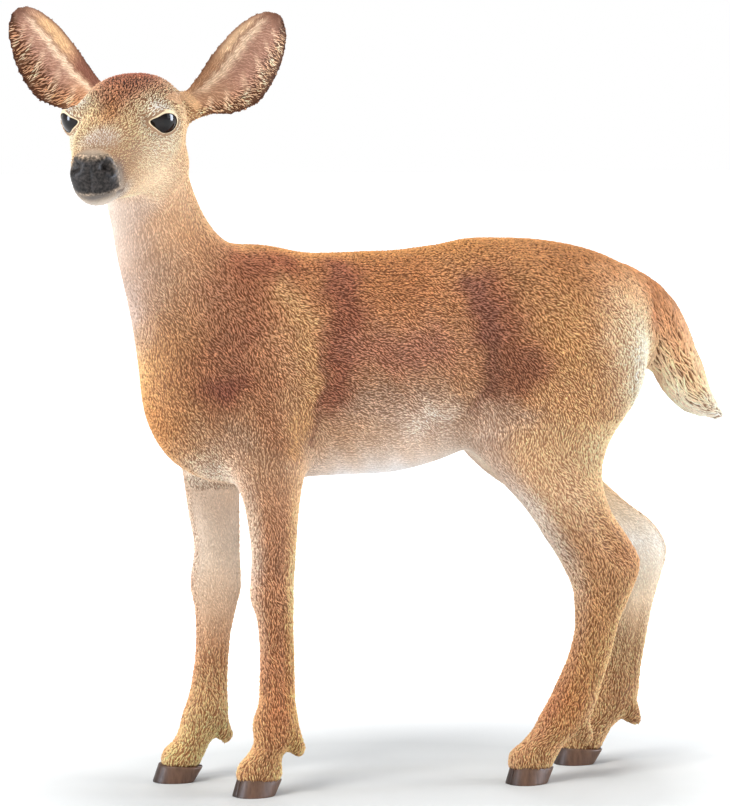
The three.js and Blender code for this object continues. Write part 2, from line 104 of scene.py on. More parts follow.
# Rows of the neck and the legs: height, front x, back x, middle y, half-width. A leg has its side, the
# middle of its sole (x, y), the hoof's outward turn in degrees and the height where the body takes over.
NECK = [
    [47.0, -25.6, -9.0, 0.0, 6.0],
    [51.5, -26.3, -9.5, 0.0, 5.9],
    [55.5, -27.1, -11.0, 0.0, 5.6],
    [59.0, -27.9, -13.8, 0.0, 5.1],
    [62.3, -28.5, -17.4, -0.2, 4.7],
    [65.5, -29.2, -19.3, -0.6, 4.5],
    [69.0, -29.4, -20.5, -1.2, 4.5],
    [72.0, -29.2, -20.9, -1.8, 4.5],
    [75.0, -28.6, -21.6, -2.2, 4.0],
    [77.0, -27.8, -22.8, -2.4, 2.8],
]
LEGS = {
    "fore_left": dict(side=-1, sole=(-14.2, -5.7), splay=22, top=33.3, rows=[
        [2.6, -16.1, -11.0, -5.7, 2.0],
        [4.2, -15.2, -11.0, -5.7, 1.95],
        [6.2, -14.0, -9.6, -5.7, 1.95],
        [8.2, -14.1, -9.2, -5.7, 2.0],
        [10.8, -13.5, -9.5, -5.7, 1.7],
        [16.0, -13.4, -9.6, -5.7, 1.6],
        [19.5, -13.7, -9.7, -5.7, 1.75],
        [22.5, -14.5, -9.7, -5.7, 2.0],
        [26.3, -14.3, -9.4, -5.6, 2.05],
        [30.7, -14.9, -9.0, -5.5, 2.5],
        [35.2, -16.0, -8.2, -5.2, 3.0],
        [41.0, -18.5, -6.0, -4.6, 3.5],
        [48.0, -19.0, -5.5, -3.9, 3.6],
        [54.0, -17.0, -7.0, -3.0, 3.2],
    ]),
    "fore_right": dict(side=1, sole=(-20.7, 5.7), splay=10, top=33.3, rows=[
        [2.6, -22.1, -17.6, 5.7, 2.0],
        [4.2, -20.9, -16.6, 5.7, 1.95],
        [6.2, -19.9, -15.2, 5.7, 1.95],
        [8.2, -19.3, -14.5, 5.7, 2.0],
        [10.8, -18.6, -14.5, 5.7, 1.7],
        [16.0, -18.0, -14.2, 5.7, 1.6],
        [19.5, -18.1, -13.5, 5.7, 1.75],
        [22.3, -18.6, -12.9, 5.7, 2.0],
        [26.3, -18.2, -13.0, 5.6, 2.05],
        [30.7, -19.0, -12.9, 5.5, 2.5],
        [34.0, -19.5, -13.0, 5.2, 3.0],
        [41.0, -20.5, -9.0, 4.6, 3.5],
        [48.0, -19.5, -6.5, 3.9, 3.6],
        [54.0, -17.0, -7.0, 3.0, 3.2],
    ]),
    "hind_left": dict(side=-1, sole=(17.1, -5.7), splay=22, top=37.4, rows=[
        [2.6, 15.0, 20.2, -5.7, 2.0],
        [4.2, 16.1, 21.3, -5.7, 2.0],
        [6.2, 18.0, 23.4, -5.7, 2.0],
        [8.5, 19.3, 24.9, -5.7, 1.85],
        [11.0, 20.5, 25.8, -5.7, 1.7],
        [14.9, 22.2, 27.0, -5.7, 1.65],
        [18.0, 22.8, 27.8, -5.7, 1.75],
        [21.5, 22.6, 29.3, -5.7, 1.9],
        [24.7, 21.2, 30.3, -5.7, 2.0],
        [27.5, 19.4, 28.9, -5.6, 2.4],
        [31.0, 17.0, 26.7, -5.4, 3.0],
        [34.5, 13.6, 25.9, -5.2, 3.5],
        [38.0, 11.0, 26.8, -4.9, 4.0],
        [42.0, 11.0, 29.4, -4.7, 4.3],
        [47.0, 12.5, 31.6, -4.4, 4.4],
        [53.0, 14.5, 31.0, -3.8, 4.0],
        [58.0, 17.5, 28.0, -3.0, 2.8],
    ]),
    "hind_right": dict(side=1, sole=(26.3, 5.6), splay=8, top=37.4, rows=[
        [2.6, 24.5, 29.7, 5.6, 2.0],
        [4.2, 25.4, 30.8, 5.6, 2.0],
        [6.2, 27.2, 33.0, 5.6, 2.0],
        [8.5, 28.3, 34.0, 5.6, 1.85],
        [11.0, 29.2, 34.3, 5.6, 1.7],
        [14.9, 30.2, 35.0, 5.6, 1.65],
        [18.0, 30.4, 35.6, 5.6, 1.75],
        [21.5, 29.9, 36.6, 5.6, 1.9],
        [24.7, 28.5, 37.4, 5.6, 2.0],
        [27.5, 26.4, 36.0, 5.6, 2.4],
        [31.0, 20.4, 31.6, 5.4, 3.0],
        [34.5, 14.8, 28.6, 5.2, 3.5],
        [38.0, 11.6, 28.8, 4.9, 4.0],
        [42.0, 12.0, 30.4, 4.7, 4.3],
        [47.0, 13.0, 31.8, 4.4, 4.4],
        [53.0, 14.5, 31.0, 3.8, 4.0],
        [58.0, 17.5, 28.0, 3.0, 2.8],
    ]),
}

# Rows: place along, centre x, centre z, half-thickness, half-width.
TAIL = [
    [0.0, 29.8, 57.2, 1.2, 1.6],
    [0.2, 32.2, 54.7, 2.25, 2.5],
    [0.45, 34.5, 50.9, 2.75, 2.9],
    [0.68, 36.5, 46.3, 2.7, 2.8],
    [0.86, 38.6, 42.9, 2.05, 2.3],
    [1.0, 41.9, 40.4, 0.4, 0.6],
]
# Rows: share of the ear's length, inner edge, outer edge, depth of the cup.
EAR = [
    [-0.12, -1.3, 1.5, 0.7],
    [0.05, -1.9, 2.4, 1.7],
    [0.2, -1.9, 4.2, 2.2],
    [0.42, -2.2, 5.3, 2.2],
    [0.62, -2.35, 4.8, 1.7],
    [0.8, -2.0, 3.7, 1.2],
    [0.93, -1.2, 2.3, 0.7],
    [0.99, -0.1, 0.9, 0.35],
]


# ---------------------------------------------------------------- places and curves
def unit(v):
    """Each row of v at length one."""
    return v / np.maximum(np.linalg.norm(v, axis=-1, keepdims=True), 1e-9)


def power(value, p=SQUARENESS):
    """Signed value to the power 2/p, which bends a circle into a superellipse."""
    return np.sign(value) * np.abs(value) ** (2 / p)


def through(rows, at):
    """Columns of a table at the places `at`: a cubic between rows, whose slope at a row is the harmonic
    mean of the slopes on its two sides, or level at a turn, so that it never overshoots the rows."""
    rows = np.array(rows, float)
    x, y = rows[:, 0], rows[:, 1:]
    at = np.asarray(at, float)
    span = np.diff(x)[:, None]
    secant = np.diff(y, axis=0) / span
    before, after = secant[:-1], secant[1:]
    steady = before * after > 0
    inner = np.where(steady, 2 * before * after / np.where(steady, before + after, 1), 0)
    slope = np.vstack([secant[:1], inner, secant[-1:]])
    i = np.clip(np.searchsorted(x, at.ravel(), side="right") - 1, 0, len(x) - 2)
    t = np.clip((at.ravel() - x[i]) / span[i, 0], 0, 1)[:, None]
    a, b, rise = slope[i] * span[i], slope[i + 1] * span[i], y[i + 1] - y[i]
    value = y[i] + t * (a + t * (3 * rise - 2 * a - b + t * (a + b - 2 * rise)))
    return np.moveaxis(value.reshape(*at.shape, -1), -1, 0)


def ease(low, high, value):
    """0 below low, 1 above high, and the smooth step 3t^2 - 2t^3 between."""
    t = np.clip((value - low) / (high - low), 0, 1)
    return t * t * (3 - 2 * t)


UP = np.array([0.0, 0.0, 1.0])
AHEAD = np.array([-np.cos(HEAD_TURN), -np.sin(HEAD_TURN), 0.0])
HEAD_LEFT = np.array([np.sin(HEAD_TURN), -np.cos(HEAD_TURN), 0.0])
HEAD_FORWARD = AHEAD * np.cos(HEAD_PITCH) - UP * np.sin(HEAD_PITCH)
HEAD_UP = AHEAD * np.sin(HEAD_PITCH) + UP * np.cos(HEAD_PITCH)
HEAD_AXES = np.stack([HEAD_FORWARD, HEAD_LEFT, HEAD_UP])


def on_head(forward, left, up):
    """Point of the head frame: forward along the face, to her left, and up from the face."""
    return EYE_LINE + np.stack(np.broadcast_arrays(forward, left, up), -1) @ HEAD_AXES


def head_place(points):
    """Forward, left and up of each point in the head frame."""
    return ((points - EYE_LINE) @ HEAD_AXES.T).T


def ear_axes(name):
    """Root point of an ear and its directions: along to the tip, across to its outer edge, out of its cup."""
    side, root, rise = EARS[name]
    along = HEAD_LEFT * np.sqrt(1 - rise**2) * side + UP * rise
    across = unit(np.cross(along, AHEAD + 0.1 * side * HEAD_LEFT) * side)
    hollow = unit(np.cross(across, along) * side)
    return on_head(*root), np.stack([along, across, hollow])


# The figure's own frame lies at SHIFT in the CAD's, both in millimetres: the left eye settles it.
eye_low, eye_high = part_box("eye_left")
SHIFT = np.array((eye_low + eye_high) / 2) / MM - on_head(*EYE_PLACE)


# ---------------------------------------------------------------- meshes
def capped(rings):
    """Closed surface through rings (m, n, 3): two triangles to each cell, and a fan over each end ring.
    It is turned inside out if its signed volume, a sixth of the sum of a . (b x c), is negative."""
    m, n, _ = rings.shape
    points = np.vstack([rings.reshape(-1, 3), rings[0].mean(0), rings[-1].mean(0)])
    here = np.arange(m * n).reshape(m, n)
    beside = np.roll(here, -1, 1)
    triangles = np.vstack([
        np.stack([here[:-1], beside[:-1], beside[1:]], -1).reshape(-1, 3),
        np.stack([here[:-1], beside[1:], here[1:]], -1).reshape(-1, 3),
        np.stack([np.full(n, m * n), beside[0], here[0]], -1),
        np.stack([np.full(n, m * n + 1), here[-1], beside[-1]], -1),
    ])
    a, b, c = points[triangles.T]
    if np.einsum("ij,ij->", a, np.cross(b, c)) < 0:
        triangles = triangles[:, ::-1]
    return points, triangles


def mesh_of(name, points, faces, paint=None, uv=None):
    """Object of these points, in millimetres, and these faces, all with equally many corners. paint is
    a linear colour for each point, and uv a place on the bake map for each point."""
    mesh = bpy.data.meshes.new(name)
    corners = faces.shape[1]
    mesh.vertices.add(len(points))
    mesh.vertices.foreach_set("co", ((points + SHIFT) * MM).astype(np.float32).ravel())
    mesh.loops.add(faces.size)
    mesh.loops.foreach_set("vertex_index", faces.astype(np.int32).ravel())
    mesh.polygons.add(len(faces))
    mesh.polygons.foreach_set("loop_start", np.arange(0, faces.size, corners, dtype=np.int32))
    mesh.update(calc_edges=True)
    mesh.shade_smooth()
    if paint is not None:
        rgba = np.column_stack([paint, np.ones(len(paint))]).astype(np.float32)
        mesh.attributes.new("paint", "FLOAT_COLOR", "POINT").data.foreach_set("color", rgba.ravel())
    if uv is not None:
        places = uv[faces.ravel()].astype(np.float32)
        mesh.uv_layers.new(name="OFBake").uv.foreach_set("vector", places.ravel())
    made = bpy.data.objects.new(name, mesh)
    bpy.context.scene.collection.objects.link(made)
    return made


def normals_of(points, quads):
    """Normal of each point: the sum of its faces' normals, which are the crossed diagonals."""
    a, b, c, d = (points[quads[:, k]] for k in range(4))
    face = np.cross(c - a, d - b)
    total = [np.bincount(quads.ravel(), np.repeat(face[:, k], 4), len(points)) for k in range(3)]
    return unit(np.stack(total, -1))


# ---------------------------------------------------------------- closed forms of the body
ROUND = np.linspace(0, 2 * np.pi, 64, endpoint=False)


def lengthwise(rows, place, steps=90):
    """Upright superellipse sections along a level axis; above and below the widest height each is fitted
    to the top and the bottom. place turns (along, sideways, height) into points."""
    s = np.linspace(rows[0][0], rows[-1][0], steps)[:, None]
    top, bottom, widest, half = through(rows, s)
    lift = power(np.sin(ROUND))
    height = widest + lift * np.where(lift > 0, top - widest, widest - bottom)
    return capped(place(s + 0 * lift, half * power(np.cos(ROUND)), height))


def upright(rows, steps=90):
    """Level superellipse sections up a leg or the neck."""
    z = np.linspace(rows[0][0], rows[-1][0], steps)[:, None]
    front, back, middle, half = through(rows, z)
    x = (front + back) / 2 + (back - front) / 2 * power(np.cos(ROUND))
    return capped(np.stack([x, middle + half * power(np.sin(ROUND)), z + 0 * x], -1))


def tail_form(steps=60):
    """Ellipses square to the tail's centre line."""
    t = np.linspace(0, 1, steps)
    thick, wide = through(TAIL, t)[2:, :, None, None]
    centre = np.stack([through(TAIL, t)[0], 0 * t, through(TAIL, t)[1]], -1)[:, None]
    run = unit(np.gradient(centre, axis=0))
    out = np.cross(np.array([0.0, 1.0, 0.0]), run)
    ring = ROUND[None, :, None]
    return capped(centre + out * thick * np.cos(ring) + np.array([0, 1.0, 0]) * wide * np.sin(ring))


def ear_form(name, steps=80):
    """Cupped leaf: across the ear the wall follows -cup (1 - c^2) for c from -1 to 1, and its edge is
    rounded by the wall's thickness, which goes as the 0.6 power of the sine."""
    root, axes = ear_axes(name)
    share = np.linspace(EAR[0][0], EAR[-1][0], steps)[:, None]
    inner, outer, cup = through(EAR, share)
    c, s = np.cos(ROUND), np.sin(ROUND)
    reach = (inner + outer) / 2 + c * (outer - inner) / 2
    wall = EAR_WALL / 2 * np.sign(s) * np.abs(s) ** 0.6
    local = np.stack([share * EAR_LENGTH + 0 * reach, reach, wall - cup * (1 - c * c)], -1)
    return capped(root + local @ axes)


def ellipsoid(middle, axes, blunt=2.0, steps=24):
    """Ball stretched along the rows of axes: middle + cos u cos v a + sin u cos v b + sin v c, the cosine
    and sine of v taken to the power 2 / blunt, which flattens its ends."""
    v = np.linspace(-np.pi / 2 + 0.05, np.pi / 2 - 0.05, steps)[:, None]
    girth, rise = power(np.cos(v), blunt), power(np.sin(v), blunt)
    shape = np.stack([np.cos(ROUND) * girth, np.sin(ROUND) * girth, rise + 0 * ROUND], -1)
    return capped(np.asarray(middle) + shape @ np.asarray(axes))


def spurs(leg):
    """Two dewclaws behind a fetlock, hanging down and back."""
    back, middle = through(leg["rows"], 6.6)[1:3]
    lean = np.radians(20)
    down = np.array([np.sin(lean), 0, -np.cos(lean)])
    square = np.array([np.cos(lean), 0, np.sin(lean)])
    axes = [square * 0.95, np.array([0, 0.85, 0]), down * 1.85]
    return [ellipsoid((back - 0.25, middle + hand * 0.8, 6.3), axes, 3.2) for hand in (-1, 1)]


def coronet(leg):
    """Bulge of the coat over the top of a hoof: a low superellipse drum that closes on the claws."""
    front, back, middle, half = through(leg["rows"], 2.6)
    return upright([
        [1.85, front + 0.35, back - 0.45, middle, half * 0.9],
        [2.2, front + 0.05, back - 0.1, middle, half * 1.02],
        [3.2, front + 0.1, back - 0.05, middle, half],
        [4.4, front + 0.9, back - 0.3, middle, half * 0.7],
    ], 24)


def jowl(side):
    """Rounded corner of the jaw, below and behind the eye."""
    return ellipsoid(on_head(-3.6, 2.9 * side, -7.2), HEAD_AXES * np.array([[4.8], [2.9], [3.4]]))


def claw(leg, hand):
    """One claw of a hoof: level D-shaped sections, flat to the cleft and bowed outside, that shrink a
    little and lean back to the heel as they rise. hand is 1 for the outer claw and -1 for the inner."""
    heading = np.radians(leg["splay"] * leg["side"])
    toe = np.array([-np.cos(heading), np.sin(heading), 0])
    out = np.array([toe[1], -toe[0], 0]) * leg["side"] * hand
    # share up the wall, and how far the section is drawn in where the edge is rounded
    profile = np.array([[0, 0.12], [0, 0.03], [0.04, 0.005], [0.12, 0], [0.35, 0], [0.65, 0], [0.88, 0],
                        [0.98, 0.02], [1.0, 0.07]])
    share, drawn = profile[:, :1], profile[:, 1:]
    c, s = np.cos(ROUND), np.sin(ROUND)
    half = HOOF_LENGTH / 2 * (0.87 + 0.06 * share) - drawn
    bow = np.where(s > 0, CLAW_WIDTH * (1 - 0.07 * share) - drawn, 0.0) * np.abs(s) ** 0.8
    toe_in = 0.22 * ease(0.2, 1.0, c) * (1 - 0.5 * share)  # the two toes close together in front
    along = half * c - HEEL_LEAN * share
    across = CLEFT / 2 + bow + np.where(s > 0, 0, drawn) - toe_in * (1 - s.clip(0))
    height = GROUND + HOOF_HEIGHT * share * (1 + 0.1 * c)
    base = np.array([*leg["sole"], 0])
    return capped(base + along[..., None] * toe + across[..., None] * out + height[..., None] * UP)


FORMS = [
    lengthwise(TRUNK, lambda x, y, z: np.stack([x, y, z], -1)),
    lengthwise(HEAD, on_head),
    upright(NECK),
    tail_form(),
    *(ear_form(name) for name in EARS),
    *(upright(leg["rows"]) for leg in LEGS.values()),
    *(coronet(leg) for leg in LEGS.values()),
    *(spur for leg in LEGS.values() for spur in spurs(leg)),
    *(jowl(side) for side in (1, -1)),
]

# ---------------------------------------------------------------- where a point lies on the body
PARTS = ["trunk", "head", "neck", "tail", "ear_left", "ear_right", *LEGS]


def lengthwise_place(rows, s, side, height):
    """Distance from the axis in section radii, place along and angle round, for upright sections."""
    top, bottom, widest, half = through(rows, s)
    rise = height - widest
    lift = rise / np.where(rise > 0, top - widest, widest - bottom)
    radius = (np.abs(side / half) ** SQUARENESS + np.abs(lift) ** SQUARENESS) ** (1 / SQUARENESS)
    beyond = np.maximum(rows[0][0] - s, 0) + np.maximum(s - rows[-1][0], 0)
    along = (s - rows[0][0]) / (rows[-1][0] - rows[0][0])
    return radius + beyond, along, np.arctan2(lift, side / half)


def upright_place(rows, points):
    """The same for level sections."""
    x, y, z = points.T
    front, back, middle, half = through(rows, z)
    fore = (x - (front + back) / 2) / ((back - front) / 2)
    side = (y - middle) / half
    radius = (np.abs(fore) ** SQUARENESS + np.abs(side) ** SQUARENESS) ** (1 / SQUARENESS)
    beyond = np.maximum(rows[0][0] - z, 0) * 0.2 + np.maximum(z - rows[-1][0], 0)
    along = (z - rows[0][0]) / (rows[-1][0] - rows[0][0])
    return radius + beyond, along, np.arctan2(side, fore)


def tail_place(points):
    """The same for the tail: the nearest of 80 points of its centre line gives the place along it."""
    t = np.linspace(0, 1, 80)
    x, z, thick, wide = through(TAIL, t)
    gap = (points[:, None, 0] - x) ** 2 + (points[:, None, 2] - z) ** 2
    k = gap.argmin(1)
    radius = np.sqrt(gap[np.arange(len(k)), k] / thick[k] ** 2 + (points[:, 1] / wide[k]) ** 2)
    radius = radius + 3 * (k == 0)
    return radius, t[k], np.arctan2(points[:, 1], (points[:, 0] - x[k]) + (points[:, 2] - z[k]) * 0.5)


def ear_place(name, points):
    """Share of an ear's length, place across from -1 at its inner edge to 1, and height over the middle
    of its wall, out of the cup."""
    root, axes = ear_axes(name)
    along, reach, lift = ((points - root) @ axes.T).T
    share = along / EAR_LENGTH
    inner, outer, cup = through(EAR, share)
    across = (reach - (inner + outer) / 2) / ((outer - inner) / 2)
    return share, across, lift + cup * (1 - np.clip(across, -1, 1) ** 2)


def ear_chart(name, points):
    """The same for an ear: its radius is its half-width across and half its wall's thickness through."""
    share, across, lift = ear_place(name, points)
    radius = np.maximum(np.abs(across), np.abs(lift) / (EAR_WALL / 2))
    radius = radius + 40 * np.maximum(0.06 - share, 0) + 3 * np.maximum(share - 1, 0)
    return radius, share, np.where(lift > 0, 1, -1) * (0.2 + np.pi / 2 * (1 - np.clip(across, -1, 1)))


def charts(points):
    """For every part: distance in radii, place along and angle round, as an array (3, parts, points)."""
    rows = [
        lengthwise_place(TRUNK, points[:, 0], points[:, 1], points[:, 2]),
        lengthwise_place(HEAD, *head_place(points)),
        upright_place(NECK, points),
        tail_place(points),
        ear_chart("ear_left", points),
        ear_chart("ear_right", points),
    ]
    for leg in LEGS.values():
        radius, along, angle = upright_place(leg["rows"], points)
        rows.append((radius + 0.6 * ease(leg["top"], leg["top"] + 5, points[:, 2]), along, angle))
    return np.stack([np.stack(row) for row in rows], 1)


# ---------------------------------------------------------------- the skin
WARP_MIDDLE = np.array([-27.5, -5.0, 74.0])
WARP_SLOPE, WARP_NEAR, WARP_FAR = 2.2, 18.0, 26.0
VOXEL = 0.53
KEEP_SIZE = 1.03  # share of each smoothing step that is taken back, so that the form does not shrink
radii = np.linspace(0, 120, 600)
stretched = np.concatenate([[0], np.cumsum(np.diff(radii) * (
    1 + (WARP_SLOPE - 1) * (1 - ease(WARP_NEAR, WARP_FAR, (radii[1:] + radii[:-1]) / 2))))])


def warp(points, before, after):
    """Moves points along their rays from the head's middle, distance `before` going to `after`. Drawn
    out so, the head and ears get a finer grid than the rest of the body."""
    ray = points - WARP_MIDDLE
    reach = np.linalg.norm(ray, axis=1)
    return WARP_MIDDLE + ray * (np.interp(reach, before, after) / np.maximum(reach, 1e-6))[:, None]


def wrapped(forms):
    """One closed skin of quads round all the closed forms, on a grid of cubes."""
    counts = np.cumsum([0] + [len(points) for points, _ in forms])
    points = np.vstack([warp(points, radii, stretched) for points, _ in forms])
    triangles = np.vstack([faces + start for (_, faces), start in zip(forms, counts)])
    mesh = bpy.data.meshes.new("forms")
    mesh.from_pydata(points.tolist(), [], triangles.tolist())
    body = bpy.data.objects.new("forms", mesh)
    bpy.context.scene.collection.objects.link(body)
    wrap = body.modifiers.new("wrap", "REMESH")
    wrap.mode = "VOXEL"
    wrap.voxel_size = VOXEL
    done = body.evaluated_get(bpy.context.evaluated_depsgraph_get()).to_mesh()
    out = np.empty(len(done.vertices) * 3, np.float32)
    done.vertices.foreach_get("co", out)
    corners = np.empty(len(done.loops), np.int32)
    done.loops.foreach_get("vertex_index", corners)
    bpy.data.objects.remove(body)
    return warp(out.reshape(-1, 3).astype(float), stretched, radii), corners.reshape(-1, 4)


def settle(points, edges, weight, rounds, back=0.0):
    """Moves each point towards the mean of its neighbours by its weight, `rounds` times, and each time
    away again by `back` of that, which smooths small steps and keeps the form's size."""
    a, b = edges.T
    size = len(points)
    count = np.bincount(edges.ravel(), minlength=size)[:, None]
    for k in range(rounds * (2 if back else 1)):
        total = [np.bincount(a, points[b, i], size) + np.bincount(b, points[a, i], size) for i in range(3)]
        share = -back if back and k % 2 else 1.0
        points = points + (np.stack(total, -1) / count - points) * weight[:, None] * share
    return points


# Places where the forms flow into each other: middle, reach and strength of the smoothing.
JOINS = [
    ((-19, 4.5, 57), 5.5, 1.0), ((-15, 0, 60), 5.0, 1.0), ((-25.5, 0, 51), 5.0, 1.0),
    ((-14, 5, 36), 6.0, 1.0), ((-13, 7, 50), 7.0, 1.0), ((-18, 6, 43), 5.0, 1.0),
    ((-8, 7, 42), 4.5, 1.0), ((12, 6, 40), 6.0, 1.0), ((20, 3, 39), 6.0, 1.0),
    ((14, 7, 52), 7.0, 1.0), ((24, 6, 56), 6.0, 1.0), ((30, 4, 48), 5.0, 1.0), ((31, 0, 55), 3.5, 1.0),
]
HEAD_JOINS = [((-7.5, 0, -8), 5.0, 1.0), ((-10, 0, -3), 4.0, 0.9), ((-8.3, 5.2, -1), 2.6, 0.8)]


def soft(points, middle, reach):
    """exp(-d^2), d being the distance from middle in reaches (one number, or one for each axis)."""
    return np.exp(-(((points - np.asarray(middle)) / np.asarray(reach)) ** 2).sum(-1))


def folded(points):
    """Points with their sideways place taken as positive, so that one row serves both sides."""
    return np.column_stack([points[:, 0], np.abs(points[:, 1]), points[:, 2]])


# Soft lumps and hollows of the body: middle, reaches and height.
BODY_RELIEF = [
    ((-14.5, 7.3, 51.5), (3.6, 4, 6.0), 0.4),  # shoulder blade
    ((-9.6, 7.8, 45.5), (2.0, 3, 7.0), 0.4),  # triceps
    ((-13.5, 7.6, 41.0), (2.6, 3, 3.6), 0.3),  # upper arm
    ((-19.3, 6.5, 47.0), (1.6, 3, 6.5), -0.4),  # between the chest and the shoulder
    ((-5.0, 7.6, 50.0), (1.7, 3, 7.5), -0.6),  # behind the shoulder
    ((-6.9, 7.4, 43.5), (0.7, 3, 5.0), -0.4),
    ((-8.6, 6.8, 37.6), (1.6, 3, 1.8), 0.5),  # elbow
    ((-5.6, 6.5, 38.0), (1.5, 3, 2.5), -0.5),
    ((-22.5, 5.0, 55.0), (1.8, 3, 6.0), -0.35),  # foot of the neck
    ((-25.0, 0.0, 46.5), (2.5, 3, 3.0), 0.3),  # breastbone
    ((-21.5, 4.5, 42.0), (2.0, 3, 3.0), 0.25),
    ((2.0, 8.0, 45.0), (7.0, 3, 5.5), 0.3),  # ribs
    ((10.9, 7.2, 53.8), (1.7, 3, 3.6), -0.95),  # hollow of the flank
    ((12.0, 8.0, 47.4), (1.1, 3, 4.0), -0.5),
    ((10.4, 7.6, 42.0), (1.5, 3, 2.4), -0.35),
    ((16.8, 6.9, 57.2), (2.6, 3, 1.8), 0.4),  # hip
    ((20.5, 8.6, 47.5), (5.0, 4, 7.0), 0.5),  # thigh
    ((13.6, 8.0, 40.5), (2.2, 3, 3.0), 0.45),  # stifle
    ((26.5, 7.5, 47.0), (1.5, 3, 6.5), -0.35),  # between the thigh's two muscles
    ((29.5, 4.5, 44.5), (2.0, 3, 4.0), 0.3),
    ((0.0, 0.0, 61.0), (22.0, 1.3, 3.0), -0.12),  # along the back
]
HEAD_RELIEF = [
    ((-0.9, 4.1, 3.0), (2.0, 1.8, 1.0), 0.14),  # brow
    ((2.9, 3.8, -0.2), (1.1, 1.5, 1.1), -0.3),  # in front of the eye
    ((0.4, 5.3, -3.0), (3.0, 2.0, 1.3), 0.25),  # cheekbone
    ((-4.2, 5.4, 0.2), (1.4, 1.5, 1.6), -0.3),  # temple
    ((5.8, 3.2, -0.6), (2.2, 1.4, 0.9), -0.15),  # side of the nose bridge
    ((5.0, 0.0, 2.0), (4.0, 0.9, 1.5), 0.12),  # nose bridge
    ((1.0, 0.0, 3.0), (2.0, 1.6, 1.5), -0.15),  # stop
    ((8.8, 2.8, -2.6), (1.2, 1.2, 1.0), 0.25),  # lip
    ((10.0, 0.0, -4.0), (1.3, 1.6, 0.7), 0.3),  # chin
    ((10.5, 2.2, -0.9), (0.9, 0.8, 1.6), 0.2),  # wing of the nostril
    ((10.4, 1.9, 0.55), (0.9, 0.9, 0.6), 0.3),  # upper corner of the pad
    ((9.3, 2.5, 0.0), (0.45, 0.8, 1.0), -0.2),
    ((10.8, 1.72, 0.05), (0.8, 0.52, 0.42), -1.25),  # nostril
    ((10.8, 2.2, -0.5), (0.8, 0.30, 0.42), -0.8),
    ((11.5, 0.0, -1.3), (1.0, 0.2, 1.4), -0.22),  # groove down the pad
    ((11.2, 0.0, 0.3), (0.8, 0.9, 0.4), 0.12),
]
# The mouth runs from one corner round the front to the other: forward, left and up on the head.
MOUTH = np.array([
    (9.1, 2.7, -3.7), (9.6, 2.42, -3.5), (10.4, 1.45, -3.1), (11.0, 0.7, -2.85), (11.3, 0.0, -2.6),
])
MOUTH = np.vstack([MOUTH, MOUTH[-2::-1] * (1, -1, 1)])


def muzzle_end(head):
    """1 on the bare end of the muzzle and 0 on the coat."""
    return ease(MUZZLE_START, MUZZLE_START + 1, head[:, 0]) * (np.abs(head[:, 1:]).max(1) < 8)


def from_mouth(head):
    """Distance from the line of the mouth, worked out only for the front of the face."""
    gap = np.full(len(head), 9.0)
    close = head[:, 0] > 5
    gap[close] = from_path(head[close], MOUTH)
    return gap


def from_path(points, path):
    """Distance of each point from a bent line, the least of those from its straight stretches."""
    start, run = path[:-1], np.diff(path, axis=0)
    t = np.einsum("pks,ks->pk", points[:, None] - start, run) / (run**2).sum(1)
    near = start + np.clip(t, 0, 1)[..., None] * run
    return np.linalg.norm(points[:, None] - near, axis=2).min(1)


def tendon(points):
    """Relief of the lower legs: a groove each side between the bone and the tendon, and a fuller joint."""
    lift = np.zeros(len(points))
    for name, leg in LEGS.items():
        hind = name.startswith("hind")
        joint = 23.0 if hind else 21.8
        radius, _, angle = upright_place(leg["rows"], points)
        near = np.exp(-((radius - 1) / 0.35) ** 2) * (points[:, 2] < leg["top"])
        fore, side = np.cos(angle), np.abs(np.sin(angle))
        z = points[:, 2]
        groove = np.exp(-((fore - 0.35) / 0.28) ** 2) * side
        shin = ease(8.5, 11, z) * (1 - ease(joint - 4, joint - 1.5, z))
        above = ease(joint + 1, joint + 3.5, z) * (1 - ease(joint + 6, joint + 9, z))
        lift -= near * groove * (0.22 * shin + (0.38 if hind else 0.12) * above)
        lift += near * 0.14 * np.exp(-((z - joint) / 1.6) ** 2) * side
        lift += near * 0.12 * np.exp(-((z - 7.6) / 1.2) ** 2)
        lift -= near * 0.16 * np.exp(-((z - 4.6) / 0.9) ** 2) * (fore > -0.2)
    return lift


# ---------------------------------------------------------------- eyes
GAZE = np.radians(43)  # outward turn of an eye from straight ahead
EYE_LONG, EYE_TALL = 1.36, 1.12  # half-length and half-height of the almond, without its front corner
EYE_CORNER = 0.32  # how far the front corner is drawn out
EYE_TILT = np.radians(-17)  # turn of the almond in the face, its back corner going down
EYE_BALL = 1.95
EYE_SINK = 0.38  # the ball's middle behind the eye's place
EYE_OUT = 0.42  # and to the side of it
LID_REACH = 1.3  # how far the bare lid goes from the middle, in almonds


def eye_axes(side):
    """Middle of the eyeball and its directions: back corner, up, and out along the gaze."""
    out = unit(HEAD_FORWARD * np.cos(GAZE) + HEAD_LEFT * side * np.sin(GAZE) + HEAD_UP * 0.05)
    rise = unit(HEAD_UP - out * (HEAD_UP @ out))
    back = np.cross(rise, out) * side
    c, s = np.cos(EYE_TILT), np.sin(EYE_TILT)
    forward, left, up = EYE_PLACE
    middle = on_head(forward, (left + EYE_OUT) * side, up) - out * EYE_SINK
    return middle, np.stack([back * c + rise * s, rise * c - back * s, out])


def almond(angle):
    """Reach of the eye's outline at an angle round it: an ellipse drawn to a point at the front corner,
    which lies a little low, and cut a little flatter towards that corner."""
    c, s = np.cos(angle), np.sin(angle)
    point = EYE_CORNER * np.exp(-((np.remainder(angle, 2 * np.pi) - np.pi - 0.02) / 0.36) ** 2)
    ellipse = 1 / np.sqrt((c / EYE_LONG) ** 2 + (s / EYE_TALL) ** 2)
    return ellipse * (1 - 0.10 * ease(0.2, 1.0, -c) * np.abs(s)) + point


